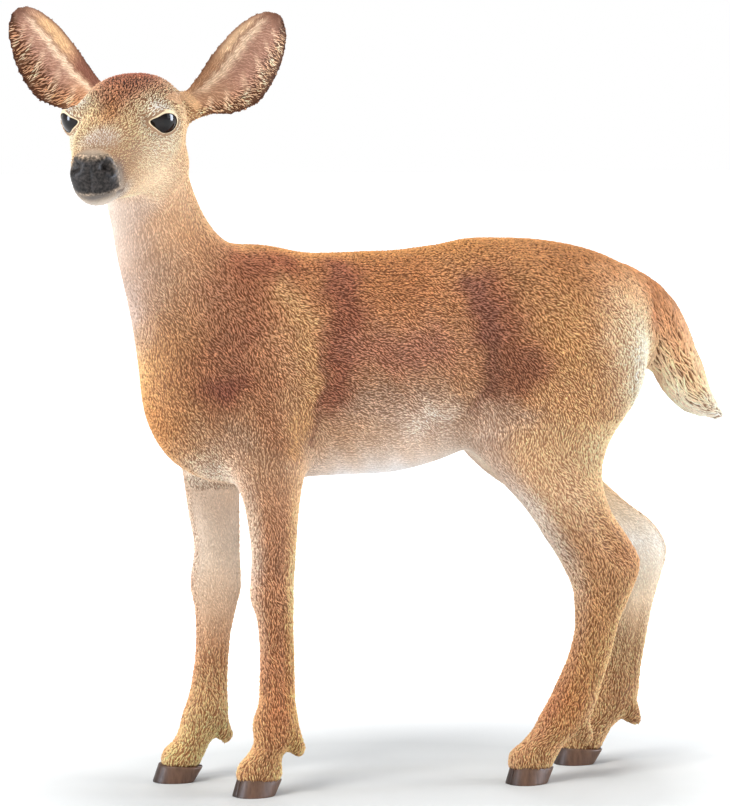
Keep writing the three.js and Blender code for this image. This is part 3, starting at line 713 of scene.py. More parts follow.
def ball(reach):
    """Height of the eyeball's face over its middle at a distance from the gaze line."""
    return np.sqrt(np.maximum(EYE_BALL**2 - reach**2, 0.05))


def open_eyes(points):
    """Lays the skin over each eyeball: under the ball inside the almond, a rounded lid just outside it,
    and easing back to the face further off."""
    for side in (1, -1):
        middle, axes = eye_axes(side)
        a, b, out = ((points - middle) @ axes.T).T
        reach, angle = np.hypot(a, b), np.arctan2(b, a)
        rim = almond(angle)
        share = reach / rim
        lid = ball(rim) + 0.02 - 0.42 * (reach - rim) + 0.16 * np.exp(-((share - 1.25) / 0.16) ** 2)
        inside = ball(reach) - 0.35
        target = np.where(share < 0.97, inside, lid)
        hold = (1 - ease(LID_REACH, 1.95, share)) * (out > -0.4) * (reach < 3.2)
        points = points + np.outer((target - out) * hold, axes[2])
    return points


def eyeball(side):
    """Bead of an eye: the ball's face over the almond, closed by a shallow dish behind."""
    middle, axes = eye_axes(side)
    share = np.concatenate([np.linspace(0.02, 1.03, 24), np.linspace(1.0, 0.05, 10)])[:, None]
    behind = (np.arange(34) >= 24)[:, None]
    reach = share * almond(ROUND)
    out = np.where(behind, ball(almond(ROUND) * 1.03) - 0.35 * (1 - share**2) - 0.05, ball(reach))
    local = np.stack([reach * np.cos(ROUND), reach * np.sin(ROUND), out], -1)
    return capped(middle + local @ axes)


def lid(side):
    """Raised rim round an eye: an oval bead carried along the almond, thicker above than below."""
    middle, axes = eye_axes(side)
    angle = np.linspace(0, 2 * np.pi, 96, endpoint=False)[:, None]
    rim = almond(angle)
    heavy = 1 + 0.35 * np.sin(angle)
    reach = rim + 0.09 + 0.16 * heavy * np.cos(ROUND)
    out = ball(rim) - 0.05 + 0.12 * heavy * np.sin(ROUND) - 0.10 * np.cos(ROUND)
    local = np.stack([reach * np.cos(angle), reach * np.sin(angle), out], -1)
    rings = middle + local @ axes
    m, n, _ = rings.shape
    here = np.arange(m * n).reshape(m, n)
    quads = np.stack([here, np.roll(here, -1, 0), np.roll(here, (-1, -1), (0, 1)), np.roll(here, -1, 1)], -1)
    quads = quads.reshape(-1, 4)
    points = rings.reshape(-1, 3)
    outward = points - np.repeat(rings.mean(1), n, axis=0)
    if (normals_of(points, quads) * outward).sum() < 0:
        quads = quads[:, ::-1]
    dark = np.tile(ease(0.35, 0.9, -np.cos(ROUND)), m)
    return points, quads, dark


def skin_form():
    """The wrapped forms, smoothed where they join, with the relief of muscle, bone and face laid on."""
    points, quads = wrapped(FORMS)
    edges = np.vstack([quads[:, [0, 1]], quads[:, [1, 2]], quads[:, [2, 3]], quads[:, [3, 0]]])
    edges = edges[edges[:, 0] < edges[:, 1]]
    points = settle(points, edges, np.full(len(points), 0.5), 6, back=KEEP_SIZE)
    head = np.column_stack(head_place(points))
    join = sum(amount * soft(folded(points), middle, reach) for middle, reach, amount in JOINS)
    join += sum(amount * soft(folded(head), middle, reach) for middle, reach, amount in HEAD_JOINS)
    points = settle(points, edges, 0.6 * np.clip(join, 0, 1), 90)
    points = settle(points, edges, np.full(len(points), 0.5), 3, back=KEEP_SIZE)
    normals = normals_of(points, quads)
    head = np.column_stack(head_place(points))
    lift = sum(height * soft(folded(points), middle, reach) for middle, reach, height in BODY_RELIEF)
    lift = lift * (points[:, 2] > 30) * (head[:, 0] < -14)
    lift += sum(height * soft(folded(head), middle, reach) for middle, reach, height in HEAD_RELIEF)
    lift += tendon(points)
    mouth = from_mouth(head)
    lift += 0.12 * np.exp(-((mouth - 0.4) / 0.22) ** 2) - 0.34 * np.exp(-((mouth / 0.17) ** 2))
    points = points + normals * (lift - COAT_DEPTH * (1 - muzzle_end(head)))[:, None]
    points = open_eyes(points)
    return points, quads


# ---------------------------------------------------------------- paint
def rgb(code):
    """sRGB hex code as three numbers from 0 to 1."""
    return np.array([int(code[k:k + 2], 16) for k in (0, 2, 4)]) / 255


def linear(colour):
    """sRGB values, or a hex code, to linear light: c / 12.92 up to 0.04045, and above it
    ((c + 0.055) / 1.055)^2.4."""
    c = rgb(colour) if isinstance(colour, str) else np.clip(colour, 0, 1)
    return np.where(c <= 0.04045, c / 12.92, ((c + 0.055) / 1.055) ** 2.4)


# Airbrush passes, laid in order on the plain tone of the body or the face: colour, middle, reaches and
# strength. A hex code stands for each colour.
FAWN, FACE = "b98a60", "e4bd92"
NOSE_BLACK, MOUTH_DARK = "201d1c", "2a2322"
BODY_PAINT = [
    ("b27c4b", (6, 0, 60.5), (24, 8, 3.2), 0.85),  # along the back
    ("b27b52", (2, 7, 54.5), (8, 5, 3.5), 0.8),  # ribs
    ("bc896a", (3, 8, 48.8), (8, 4, 3.2), 0.85),
    ("b49278", (1, 8, 43.3), (8, 4, 2.7), 0.95),
    ("d0a27a", (-12, 8, 47), (3.5, 4, 7), 0.75),
    ("b98e68", (-20.2, 7, 40.8), (2.4, 4, 2.6), 0.8),
    ("d29f6c", (-25.4, 0, 46.5), (3.0, 5, 4.8), 0.95),  # breast
    ("c08756", (-24.0, 0, 40.5), (3.0, 5, 3.0), 0.9),
    ("ae8c70", (-16.2, 7, 39.5), (2.8, 4, 3), 0.8),
    ("996840", (25, 5, 58.8), (7.5, 6, 3.8), 0.95),  # croup
    ("cf9c6a", (21.5, 9, 50), (4.6, 5, 6), 0.9),  # thigh
    ("d2a274", (22, 9, 42.5), (4.6, 5, 4.5), 0.9),
    ("dcb593", (17.5, 9, 36.5), (4.5, 5, 3), 0.85),
    ("dfb48e", (27.4, 8, 50), (2.8, 4, 6.5), 0.9),
    ("ffe8ca", (30.5, 6, 46), (3.2, 5, 7), 1.0),
    ("f6f1ef", (2, 0, 32.4), (14, 20, 6.6), 1.0),  # belly
    ("e8cfba", (-16.5, 3.2, 35.5), (4.5, 2.6, 3.6), 0.9),  # between the forelegs
    ("f2dfcf", (6.5, 7.5, 40.4), (4.6, 5, 2.6), 0.95),
    ("f6eee6", (13.5, 2.5, 34), (6.5, 4.4, 6.5), 1.0),  # groin
    ("f0cfaa", (33.6, 0, 47), (2.6, 2.6, 5.2), 0.9),  # under the tail
]
# Strokes of the airbrush on both flanks, some of them painted shade in the hollows behind the shoulder and in
# the flank and one a painted highlight on the triceps: colour, half-width, strength and the path it took, as
# x and z.
BODY_STROKES_SHADE_AND_HIGHLIGHT = [
    ("8a533b", 3.4, 0.9, [(-10, 60.5), (-14, 58.5), (-16.2, 55), (-16.8, 50), (-17.4, 47.5)]),
    ("8c5741", 2.8, 0.9, [(-15.4, 57.5), (-16.3, 53), (-16.6, 49.0), (-17.9, 46.2)]),
    ("865343", 2.0, 0.75, [(-16.4, 50.5), (-16.8, 47.8), (-17.9, 46.2)]),
    ("a06e50", 1.6, 0.6, [(-13.0, 48.5), (-13.0, 42.5), (-11.8, 39.0)]),
    ("9f683f", 2.6, 0.6, [(-6, 59.2), (-1, 58.2), (4, 57.6)]),
    # painted shade: the dark band in the hollow behind the shoulder
    ("8b5641", 2.1, 0.85, [(-4.0, 57.5), (-4.0, 52), (-5.0, 48.5), (-6.0, 44.5)]),
    ("9d6b55", 1.9, 0.6, [(-3.0, 49.5), (1.5, 48.6), (6.0, 49.2)]),
    # painted highlight: the pale strip down the ridge of the triceps
    ("d0a274", 1.25, 0.9, [(-10.8, 56), (-8.3, 51.5), (-7.8, 47), (-8.4, 42.5), (-10.2, 38.5)]),
    # painted shade: a thin dark line in the crease between the arm and the ribs
    ("7a4f3e", 0.34, 0.5, [(-6.9, 49.5), (-6.7, 45.5), (-7.1, 41.5), (-7.8, 38.6)]),
    # painted shade: these four darken the hollow of the flank before the thigh and the fold along it
    ("955f47", 2.5, 0.7, [(12.8, 55.0), (14.0, 51), (15.6, 47.2)]),
    ("8a5b43", 2.1, 0.9, [(16.4, 47.3), (14.8, 46.1), (13.4, 44.4)]),
    ("8a5b48", 1.6, 0.9, [(11.2, 56.0), (11.5, 53.6), (12.4, 50.8)]),
    ("825745", 0.9, 0.7, [(12.7, 50.6), (12.9, 48.2), (12.2, 45.2), (11.2, 42.6)]),
    ("bb9d86", 1.6, 0.85, [(11.4, 41.6), (13.6, 41.9), (16.0, 41.2)]),
    ("e2cebf", 2.0, 0.9, [(12.6, 38.4), (15.8, 37.2)]),
    ("a37a5c", 1.2, 0.3, [(9.6, 40.6), (6.2, 39.6)]),
]
NECK_PAINT = [
    ("f6ca9e", (-16, 0, 64), (5.5, 7, 9), 0.9),
    ("eec096", (-23.2, 5, 66), (3.4, 5, 8), 0.95),
    ("e6bc9c", (-21.5, 6, 56.5), (3.8, 4, 4.5), 0.85),
    ("dcc2b0", (-27.0, 0, 64), (3.1, 8.0, 11), 0.95),
    ("e8dace", (-30.6, 0, 64), (3.0, 5.5, 13), 1.0),  # throat
    ("c9b1a2", (-27.8, 0, 54.0), (3.8, 5.5, 4.8), 0.95),
    ("9c6446", (-14.2, 5, 58.6), (3.0, 6, 2.6), 0.75),
]
HEAD_PAINT = [
    ("744536", (-7.4, 0, 3.0), (4.0, 5.8, 3.2), 1.0),  # crown
    ("7d4e3b", (-3.8, 0, 3.4), (2.8, 3.2, 2.4), 0.95),
    ("8d5f46", (-0.6, 0, 3.2), (2.9, 3.2, 2.2), 0.95),
    ("a9784f", (2.6, 0, 2.4), (2.6, 0.9, 1.5), 0.75),  # stripe
    ("dcb48a", (1.5, 2.6, 2.2), (2.4, 1.3, 1.6), 0.5),
    ("fdeede", (7.2, 0, 1.6), (2.2, 2.4, 1.3), 0.95),  # muzzle
    ("97897c", (9.9, 0, 1.1), (0.9, 1.9, 0.6), 0.8),
    ("fff4e0", (-0.2, 5.0, 0.4), (2.4, 2.6, 2.2), 0.95),  # round the eye
    ("ffe6c6", (2.0, 5.0, -3.4), (4.6, 3.4, 3.4), 0.9),  # cheek
    ("ecc8a4", (-6.5, 6, 0), (2.4, 3, 2.6), 0.7),
    ("fde2c2", (3.0, 3, -6.8), (6.5, 4.4, 2.6), 0.95),  # jaw
    ("fbeee4", (-3.0, 0, -10.8), (7, 5.5, 2.2), 0.95),  # under the jaw
    ("f0e4d2", (8.6, 2.6, -4.2), (1.8, 1.6, 1.4), 0.9),
    ("8f857c", (9.6, 2.8, -1.4), (0.9, 0.9, 1.9), 0.8),  # overspray beside the nose
    ("aea7a1", (9.6, 0, -4.0), (2.4, 3.0, 1.1), 1.0),  # chin
    ("5f5a57", (10.9, 0, -3.1), (1.4, 2.4, 0.6), 1.0),
    ("dcd4cc", (9.2, 0, -5.1), (2.2, 2.8, 0.9), 0.9),
]
# Colours up a leg: height, and then at the front, outside, at the back, and inside.
LEG_PAINT = {
    "fore": [(3, "dca474", "dba777", "e4b07a", "f6c48c"), (9, "c89468", "c1855c", "dea66f", "e4b484"),
             (14, "bc8865", "c48a62", "d8a16e", "cf9e75"), (20, "c79e80", "bf8a64", "e5b480", "dbbca0"),
             (25, "cfb09a", "ba8968", "ecbc8c", "dfccb8"), (31, "cdb198", "b88968", "ecbd8e", "d8c6b5"),
             (38, "b49078", "bc916e", "deac7a", "d8c1ab")],
    "hind": [(3, "dca67c", "dba778", "dea87a", "dcaa7c"), (9, "c08660", "c88d5d", "dea87a", "d9a87c"),
             (14, "c18f68", "d09c6a", "dbaa78", "dfb68c"), (20, "c79e7c", "c49468", "d4a578", "f6e2c8"),
             (26, "d5bba6", "c69870", "c08f66", "faf4ea"), (32, "e4d0c0", "e6bd98", "e2b488", "d6b892"),
             (39, "b4947c", "e0b488", "f5caa0", "faf8f0")],
}
# The rim tone paints the dark edge of each ear and also, in a thin line beside the fold, a painted shadow.
EAR_PAINT = {
    "ear_left": {"hollow": "a47d6a", "edge": "ae8b6e", "fold": "f2d8ba", "lobe": "b28c6e", "rim": "5e3b2c",
                 "strip": "ecc8a2", "back": "a97f5c", "root": "a87c5c"},
    "ear_right": {"hollow": "ae8673", "edge": "a3785a", "fold": "f2dabd", "lobe": "b88862", "rim": "57362a",
                  "strip": "dab286", "back": "8d5f48", "root": "75483a"},
}
EAR_FOLD = {"ear_left": -0.48, "ear_right": -0.26}  # place of the fold across the ear


def wander(points):
    """Gentle waves, 0.6 mm at most, by which the edges of an airbrushed patch stray from a clean curve."""
    x, y, z = points.T
    return 0.28 * np.stack([
        np.sin(0.8 * z + 0.9 * y) + np.sin(1.7 * z - 1.3 * x),
        np.sin(1.1 * x + 0.7 * z),
        np.sin(0.9 * x - 0.8 * y) + np.sin(1.9 * x + 1.2 * z),
    ], -1)


def brush(colour, points, passes):
    """Lays the passes over colour one after another, each with strength amount x soft()."""
    for code, middle, reach, amount in passes:
        share = np.clip(1.25 * soft(points, middle, reach), 0, 1) * amount
        colour = colour + (rgb(code) - colour) * share[:, None]
    return colour


def stroked(colour, points, strokes):
    """Lays the strokes over colour, each with strength amount x exp(-(gap / width)^2), gap being the
    distance off its path as seen from the side."""
    for code, width, amount, path in strokes:
        gap = from_path(points[:, [0, 2]], np.array(path, float))
        share = amount * np.clip(1.2 * np.exp(-((gap / width) ** 2)), 0, 1) * ease(1.5, 4.0, points[:, 1])
        colour = colour + (rgb(code) - colour) * share[:, None]
    return colour


def leg_paint(points, name, leg):
    """Colour up the leg: its outside, paler to the front and golden at the back, and its inside."""
    table = LEG_PAINT[name[:4]]
    heights = [row[0] for row in table]
    front, outer, back, inner = (
        np.stack([np.interp(points[:, 2], heights, [rgb(row[k])[i] for row in table]) for i in range(3)], -1)
        for k in (1, 2, 3, 4))
    _, _, angle = upright_place(leg["rows"], points)
    fore = np.cos(angle)[:, None]
    colour = outer + (front - outer) * ease(0.35, 0.9, -fore)
    colour = colour + (back - colour) * ease(0.2, 0.75, fore)
    inside = ease(-0.1, 0.65, -leg["side"] * np.sin(angle))
    return colour + (inner - colour) * inside[:, None]


def ear_paint(points, name):
    """Pink-brown hollow, streaked outer edge, cream fold with a dark line beside it that is a painted shadow
    of the fold, and a strip of its own tone towards the inner edge, and brown rim, root and back."""
    share, across, lift = ear_place(name, points)
    tone = {key: rgb(code) for key, code in EAR_PAINT[name].items()}
    ragged = 0.03 * np.sin(70 * share) + 0.02 * np.sin(31 * share)
    fold = across - EAR_FOLD[name] + 0.1 * (share - 0.5) + ragged
    inner_part = 1 - ease(-0.22, -0.02, fold)
    crest = np.exp(-(fold / 0.15) ** 2) * ease(0.02, 0.2, share) * (1 - ease(0.8, 0.96, share))

    def over(colour, key, amount):
        return colour + (tone[key] - colour) * np.clip(amount, 0, 1)[:, None]

    front = np.tile(tone["hollow"], (len(points), 1))
    front = over(front, "edge", ease(0.2, 0.75, across))
    front = over(front, "lobe", 0.8 * (1 - ease(0.12, 0.42, share)))
    front = over(front, "strip", inner_part * (1 - 0.8 * ease(0.72, 0.92, share)))
    front = over(front, "fold", 0.85 * crest)
    # painted shadow: a thin line of the rim's dark tone beside the fold, where the rolled edge would shade
    # the hollow
    front = over(front, "rim", 0.4 * np.exp(-((fold + 0.17) / 0.06) ** 2))
    streak = np.sin(46 * share + 5 * across + 2 * np.sin(7 * share)) * ease(-0.3, 0.3, across)
    front = over(front, "fold", 0.5 * ease(0.2, 0.9, streak))
    front = over(front, "root", 0.9 * (1 - ease(-0.3, -0.06, fold)) * (1 - ease(0.3, 0.55, share)))
    front = over(front, "rim", 0.65 * np.maximum(ease(0.82, 0.98, np.abs(across)), ease(0.86, 0.99, share)))
    back = np.tile(tone["back"], (len(points), 1))
    back = over(back, "rim", 0.7 * ease(0.7, 0.95, share))
    facing = ease(-0.15, 0.15, lift)[:, None]
    colour = back + (front - back) * facing
    return over(colour, "root", 0.9 * (1 - ease(0.02, 0.16, share)) * (1 - 0.8 * facing[:, 0]))


def tail_paint(points):
    """Fawn on top, paling to a cream tip, and brown below as far as the middle, then cream."""
    _, t, angle = tail_place(points)

    def run(stops, codes):
        tones = np.stack([rgb(code) for code in codes])
        return np.stack([np.interp(t, stops, tones[:, i]) for i in range(3)], -1)

    top = run([0, 0.25, 0.5, 0.8, 1], ("8a5a3a", "91613e", "c0906a", "deb68e", "f2dfca"))
    below = run([0, 0.35, 0.5, 0.7, 1], ("8a5a3c", "8a5e44", "bc9672", "e0bf9e", "f2dfca"))
    return top + (below - top) * ease(0.0, 0.7, -np.cos(angle))[:, None]


BLEND = 0.3  # section radii beyond a part over which its paint and coat give way to its neighbour's


def nearness(points):
    """Share of each part in a point: exp of minus its squared distance off that part, and all sum to 1."""
    radius = charts(points)[0]
    weight = np.exp(-(np.maximum(radius - 1, 0) / BLEND) ** 2) + 1e-9
    return weight / weight.sum(0)


PAD_LEVEL = 0.3  # share of black at which the nose's pad begins


def nose_paint(head):
    """How black the lacquer of the nose is: full over the square pad, brushed away at its edges."""
    forward, left, up = head.T
    level = (1 - ease(0.45, 1.25, up)) * ease(MOUTH_LINE - 0.5, MOUTH_LINE, up)
    return ease(9.0, 10.2, forward + 0.1 * up) * (1 - ease(2.3, 3.1, np.abs(left))) * level


def markings(points):
    """sRGB colour of the paint at each point: the parts' colours, each part weighing by its nearness."""
    head = np.column_stack(head_place(points))
    flank = folded(points + wander(points))
    trunk = brush(np.tile(rgb(FAWN), (len(points), 1)), flank, BODY_PAINT)
    neck = brush(trunk, flank, NECK_PAINT)
    trunk = stroked(trunk, flank, BODY_STROKES_SHADE_AND_HIGHLIGHT)
    face = brush(np.tile(rgb(FACE), (len(points), 1)), folded(head + 0.4 * wander(points)), HEAD_PAINT)
    parts = [trunk, face, neck, tail_paint(points)]
    parts += [ear_paint(points, name) for name in EARS]
    parts += [leg_paint(points, name, leg) for name, leg in LEGS.items()]
    share = nearness(points)
    colour = np.einsum("kp,kpc->pc", share, np.stack(parts))
    colour = colour + (rgb(NOSE_BLACK) - colour) * nose_paint(head)[:, None]
    return colour + (rgb(MOUTH_DARK) - colour) * (0.9 * np.exp(-((from_mouth(head) / 0.2) ** 2)))[:, None]


def roughness_of_coat(points):
    """How strongly the coat is sculpted, and how much wash and painted shade its grooves take and
    dry-brushing and painted highlight its crests take: most on the crown, least under the belly.
    """
    head = np.column_stack(head_place(points))
    near = folded(points)
    strength = 1.0 + 0.75 * soft(folded(head), (-5, 0, 3), (6, 6, 3))
    strength -= 0.85 * soft(near, (2, 0, 34), (15, 14, 6.8))
    strength -= 0.75 * soft(near, (-29.5, 0, 61), (5.0, 6.0, 13))
    strength -= 0.35 * soft(near, (-22, 5, 64), (5, 5, 9))
    strength -= 0.5 * soft(folded(head), (4, 3.5, -5.5), (6, 4, 3.4))
    strength -= 0.45 * soft(near, (14, 2.0, 34), (7, 3.4, 6))
    for name, leg in LEGS.items():
        radius, _, angle = upright_place(leg["rows"], points)
        inside = ease(0.0, 0.7, -leg["side"] * np.sin(angle)) * ease(12, 20, points[:, 2])
        strength -= 0.65 * inside * (radius < 1.3) * (points[:, 2] < leg["top"])
    for name in EARS:
        share, across, lift = ear_place(name, points)
        hollow = (lift > 0) * (np.abs(across) < 1) * (share > 0) * (share < 1)
        strength -= hollow * (0.65 - 1.0 * ease(0.1, 0.6, across))
    return np.clip(strength, 0.15, 2.0) * (1 - muzzle_end(head))


# ---------------------------------------------------------------- the coat and how it lies
# Combing guides: middle, reach, and the way the hair lies there.
GUIDES = [
    ((-24, 0, 73), 5, (0.1, 0, -1)), ((-23, 4.5, 64), 5, (0.25, 0, -1)), ((-19, 5.5, 56), 5, (0.5, 0, -0.9)),
    ((-29, 0, 60), 6, (0.05, 0, -1)), ((-25, 0, 47), 5, (0.15, 0.1, -1)), ((-16, 7, 50), 6, (0.6, 0, -0.8)),
    ((-13, 0, 61), 5, (1, 0, -0.25)), ((-12, 7, 40), 4, (0.3, 0, -1)), ((2, 0, 61), 7, (1, 0.05, 0)),
    ((2, 8, 50), 7, (1, 0, -0.4)), ((3, 6, 40), 6, (1, 0, -0.25)), ((3, 0, 34), 6, (1, 0, 0.05)),
    ((14, 0, 61), 6, (1, 0.1, 0)), ((25, 0, 61), 5, (0.9, 0.2, -0.4)), ((11, 7.5, 46), 5, (0.8, 0, -0.6)),
    ((21, 8.5, 50), 6, (0.75, 0, -0.7)), ((22, 8.5, 42), 5, (0.5, 0, -0.9)), ((30, 4, 46), 5, (0.1, 0.1, -1)),
    ((13, 7, 38), 5, (0.4, 0, -0.9)),
]


def combed(points, normals, part, near_part):
    """Unit direction of the hair at each root. Guides blend by their nearness on the body; on the head it
    runs from the nose to the poll and down the cheeks, on the ears from the fold to the rim, and along
    the tail and the legs. It is then laid in the skin's plane. part is the index of each root's part."""
    near = folded(points)
    weight = np.stack([soft(near, middle, reach) + 1e-6 for middle, reach, _ in GUIDES])
    ways = unit(np.array([way for _, _, way in GUIDES], float))
    flow = np.einsum("gp,gc->pc", weight / weight.sum(0), ways)
    flow[:, 1] *= np.sign(points[:, 1])
    _, left, up = head_place(points)
    fan = np.clip(left / 6, -1, 1)[:, None]
    cheek = ease(-0.5, 3.5, -up)[:, None]
    face = -HEAD_FORWARD * (1 - 0.35 * cheek) + HEAD_LEFT * fan * 0.35 - HEAD_UP * 0.75 * cheek
    flow = flow + (unit(face) - flow) * near_part[PARTS.index("head")][:, None]
    for name in EARS:
        _, axes = ear_axes(name)
        share, across, lift = ear_place(name, points)
        outward = np.clip(across + 0.55, -0.4, 1)[:, None]
        inside = axes[1] * outward * 1.3 + axes[0] * (0.25 + 0.5 * share)[:, None]
        outside = axes[0] + axes[1] * np.clip(across, -1, 1)[:, None] * 0.6
        mine = (part == PARTS.index(name))[:, None]
        flow = np.where(mine, np.where((lift > 0)[:, None], inside, outside), flow)
    t = np.linspace(0, 1, 80)
    x, z = through(TAIL, t)[:2]
    run = unit(np.stack([np.gradient(x), 0 * t, np.gradient(z)], -1))
    _, place, _ = tail_place(points)
    along = run[np.clip((place * 79).astype(int), 0, 79)]
    mine = (part == PARTS.index("tail"))[:, None]
    flow = np.where(mine, along + np.array([0, 0.12, 0]) * points[:, 1:2], flow)
    z = points[:, 2]
    for name, leg in LEGS.items():
        slope = (through(leg["rows"], z - 1)[:2] - through(leg["rows"], z + 1)[:2]).sum(0) / 4
        down = unit(np.stack([slope + 0.22, 0 * z, -1 + 0 * z], -1))
        flow = flow + (down - flow) * near_part[PARTS.index(name)][:, None]
    flow = flow - normals * (flow * normals).sum(1, keepdims=True)
    return unit(flow)


def scattered(points, quads, normals, count):
    """Random places on the skin, as many to each square millimetre everywhere: a quad picked by its area,
    and a place in it."""
    a, b, c, d = (points[quads[:, k]] for k in range(4))
    area = np.linalg.norm(np.cross(c - a, d - b), axis=1)
    pick = quads[rng.choice(len(quads), count, p=area / area.sum())]
    u, v = rng.random((2, count, 1))
    share = np.stack([(1 - u) * (1 - v), u * (1 - v), u * v, (1 - u) * v])
    place = sum(share[k] * points[pick[:, k]] for k in range(4))
    return place, unit(sum(share[k] * normals[pick[:, k]] for k in range(4)))


TUFT_SINK = 0.06  # how far a tuft's foot goes into the skin


def tufts(root, normal, lie, size, sections):
    """Closed spindles lying on the skin, size being (length, width, height) for each. A root point and a
    tip point close them, and between are triangular sections, whose crest stands height over the skin
    and whose two feet are sunk in it. Returns points, triangles and each point's share of the height."""
    length, width, height = (column[:, None, None] for column in size.T)
    side = np.cross(normal, lie)[:, None]
    normal, lie, root = normal[:, None], lie[:, None], root[:, None]
    places, bulge = {1: ([0.42], [1.0]), 2: ([0.27, 0.66], [1.0, 0.85])}[sections]
    rows = [root - lie * length / 2 - normal * TUFT_SINK]
    crest = [0.0]
    for place, wide in zip(places, bulge):
        middle = root + lie * length * (place - 0.5)
        reach = side * width * wide / 2
        top = middle + normal * height * (0.75 + 0.35 * place)
        rows += [top, middle + reach - normal * TUFT_SINK, middle - reach - normal * TUFT_SINK]
        crest += [1.0, 0.0, 0.0]
    rows.append(root + lie * length / 2 + normal * height * 0.15)
    crest.append(0.7)
    corner = len(rows)
    points = np.concatenate(rows, 1).reshape(-1, 3)
    faces = [(0, 2, 1), (0, 3, 2), (0, 1, 3)]
    for k in range(sections - 1):
        base = 1 + 3 * k
        for a, b in ((0, 1), (1, 2), (2, 0)):
            faces += [(base + a, base + b, base + 3 + b), (base + a, base + 3 + b, base + 3 + a)]
    last, tip = 1 + 3 * (sections - 1), corner - 1
    faces += [(last, last + 1, tip), (last + 1, last + 2, tip), (last + 2, last, tip)]
    triangles = (np.arange(len(root))[:, None, None] * corner + np.array(faces)).reshape(-1, 3)
    return points, triangles, np.tile(crest, len(root)), corner


# Sculpted coat of each kind of part: spacing, length, width, height in millimetres.
COATS = {
    "trunk": (0.262, 0.60, 0.18, 0.15),
    "head": (0.245, 0.50, 0.155, 0.13),
    "neck": (0.27, 0.64, 0.18, 0.14),
    "tail": (0.38, 1.80, 0.27, 0.26),
    "ear": (0.34, 0.90, 0.20, 0.12),
    "leg": (0.262, 0.80, 0.18, 0.15),
}
WASH_AND_SHADE = np.array([0.34, 0.40, 0.44])  # how much the grooves are darkened in each colour: partly a dark wash, partly painted shade of the sculpted relief
DRY_BRUSH_AND_HIGHLIGHT = np.array([0.30, 0.34, 0.38])  # and how much the crests are lightened on a mid tone: partly dry-brushing, partly painted highlight
BRUSH_ON_BLACK, BRUSH_FALL = 1.8, 1.5  # its share on black, and how fast that falls on paler tones
# The kind of coat on each part, in the order of PARTS.
COAT_OF_PART = ["trunk", "head", "neck", "tail", *["ear"] * len(EARS), *["leg"] * len(LEGS)]
ROOTS = 720000  # places tried for a tuft over the whole skin, of which one in each cell of a grid is kept
CELLS = 1000  # more than the cells of that grid along any axis
STRAY, UNEVEN, MOTTLE = 0.22, 0.3, 0.09  # how far tufts differ in direction (radians), size and tone
# Coat pieces, each with the parts that it covers, in the order of PARTS.
COAT_PIECES = {
    "coat_trunk_left": ["trunk"],
    "coat_trunk_right": ["trunk"],
    "coat_head": ["head"],
    "coat_neck": ["neck"],
    "coat_tail": ["tail"],
    "coat_ears": ["ear_left", "ear_right"],
    "coat_fore_legs": ["fore_left", "fore_right"],
    "coat_hind_legs": ["hind_left", "hind_right"],
}


def bake_places(root, part, covered, corner):
    """Place on the bake map: each part has its own strip, place along it by angle round it, and each
    tuft's points are spread over a patch 0.003 across at its root."""
    _, along, angle = charts(root)
    own = part, np.arange(len(part))
    column = np.searchsorted(covered, part)
    u = (column + 0.03 + 0.94 * (angle[own] / (2 * np.pi) % 1)) / len(covered)
    v = 0.02 + 0.96 * np.clip(along[own], 0, 1)
    spread = np.linspace(0, 2 * np.pi, corner, endpoint=False)
    patch = 0.0015 * np.stack([np.cos(spread), np.sin(spread)], -1)
    return (np.stack([u, v], -1)[:, None] + patch).reshape(-1, 2)


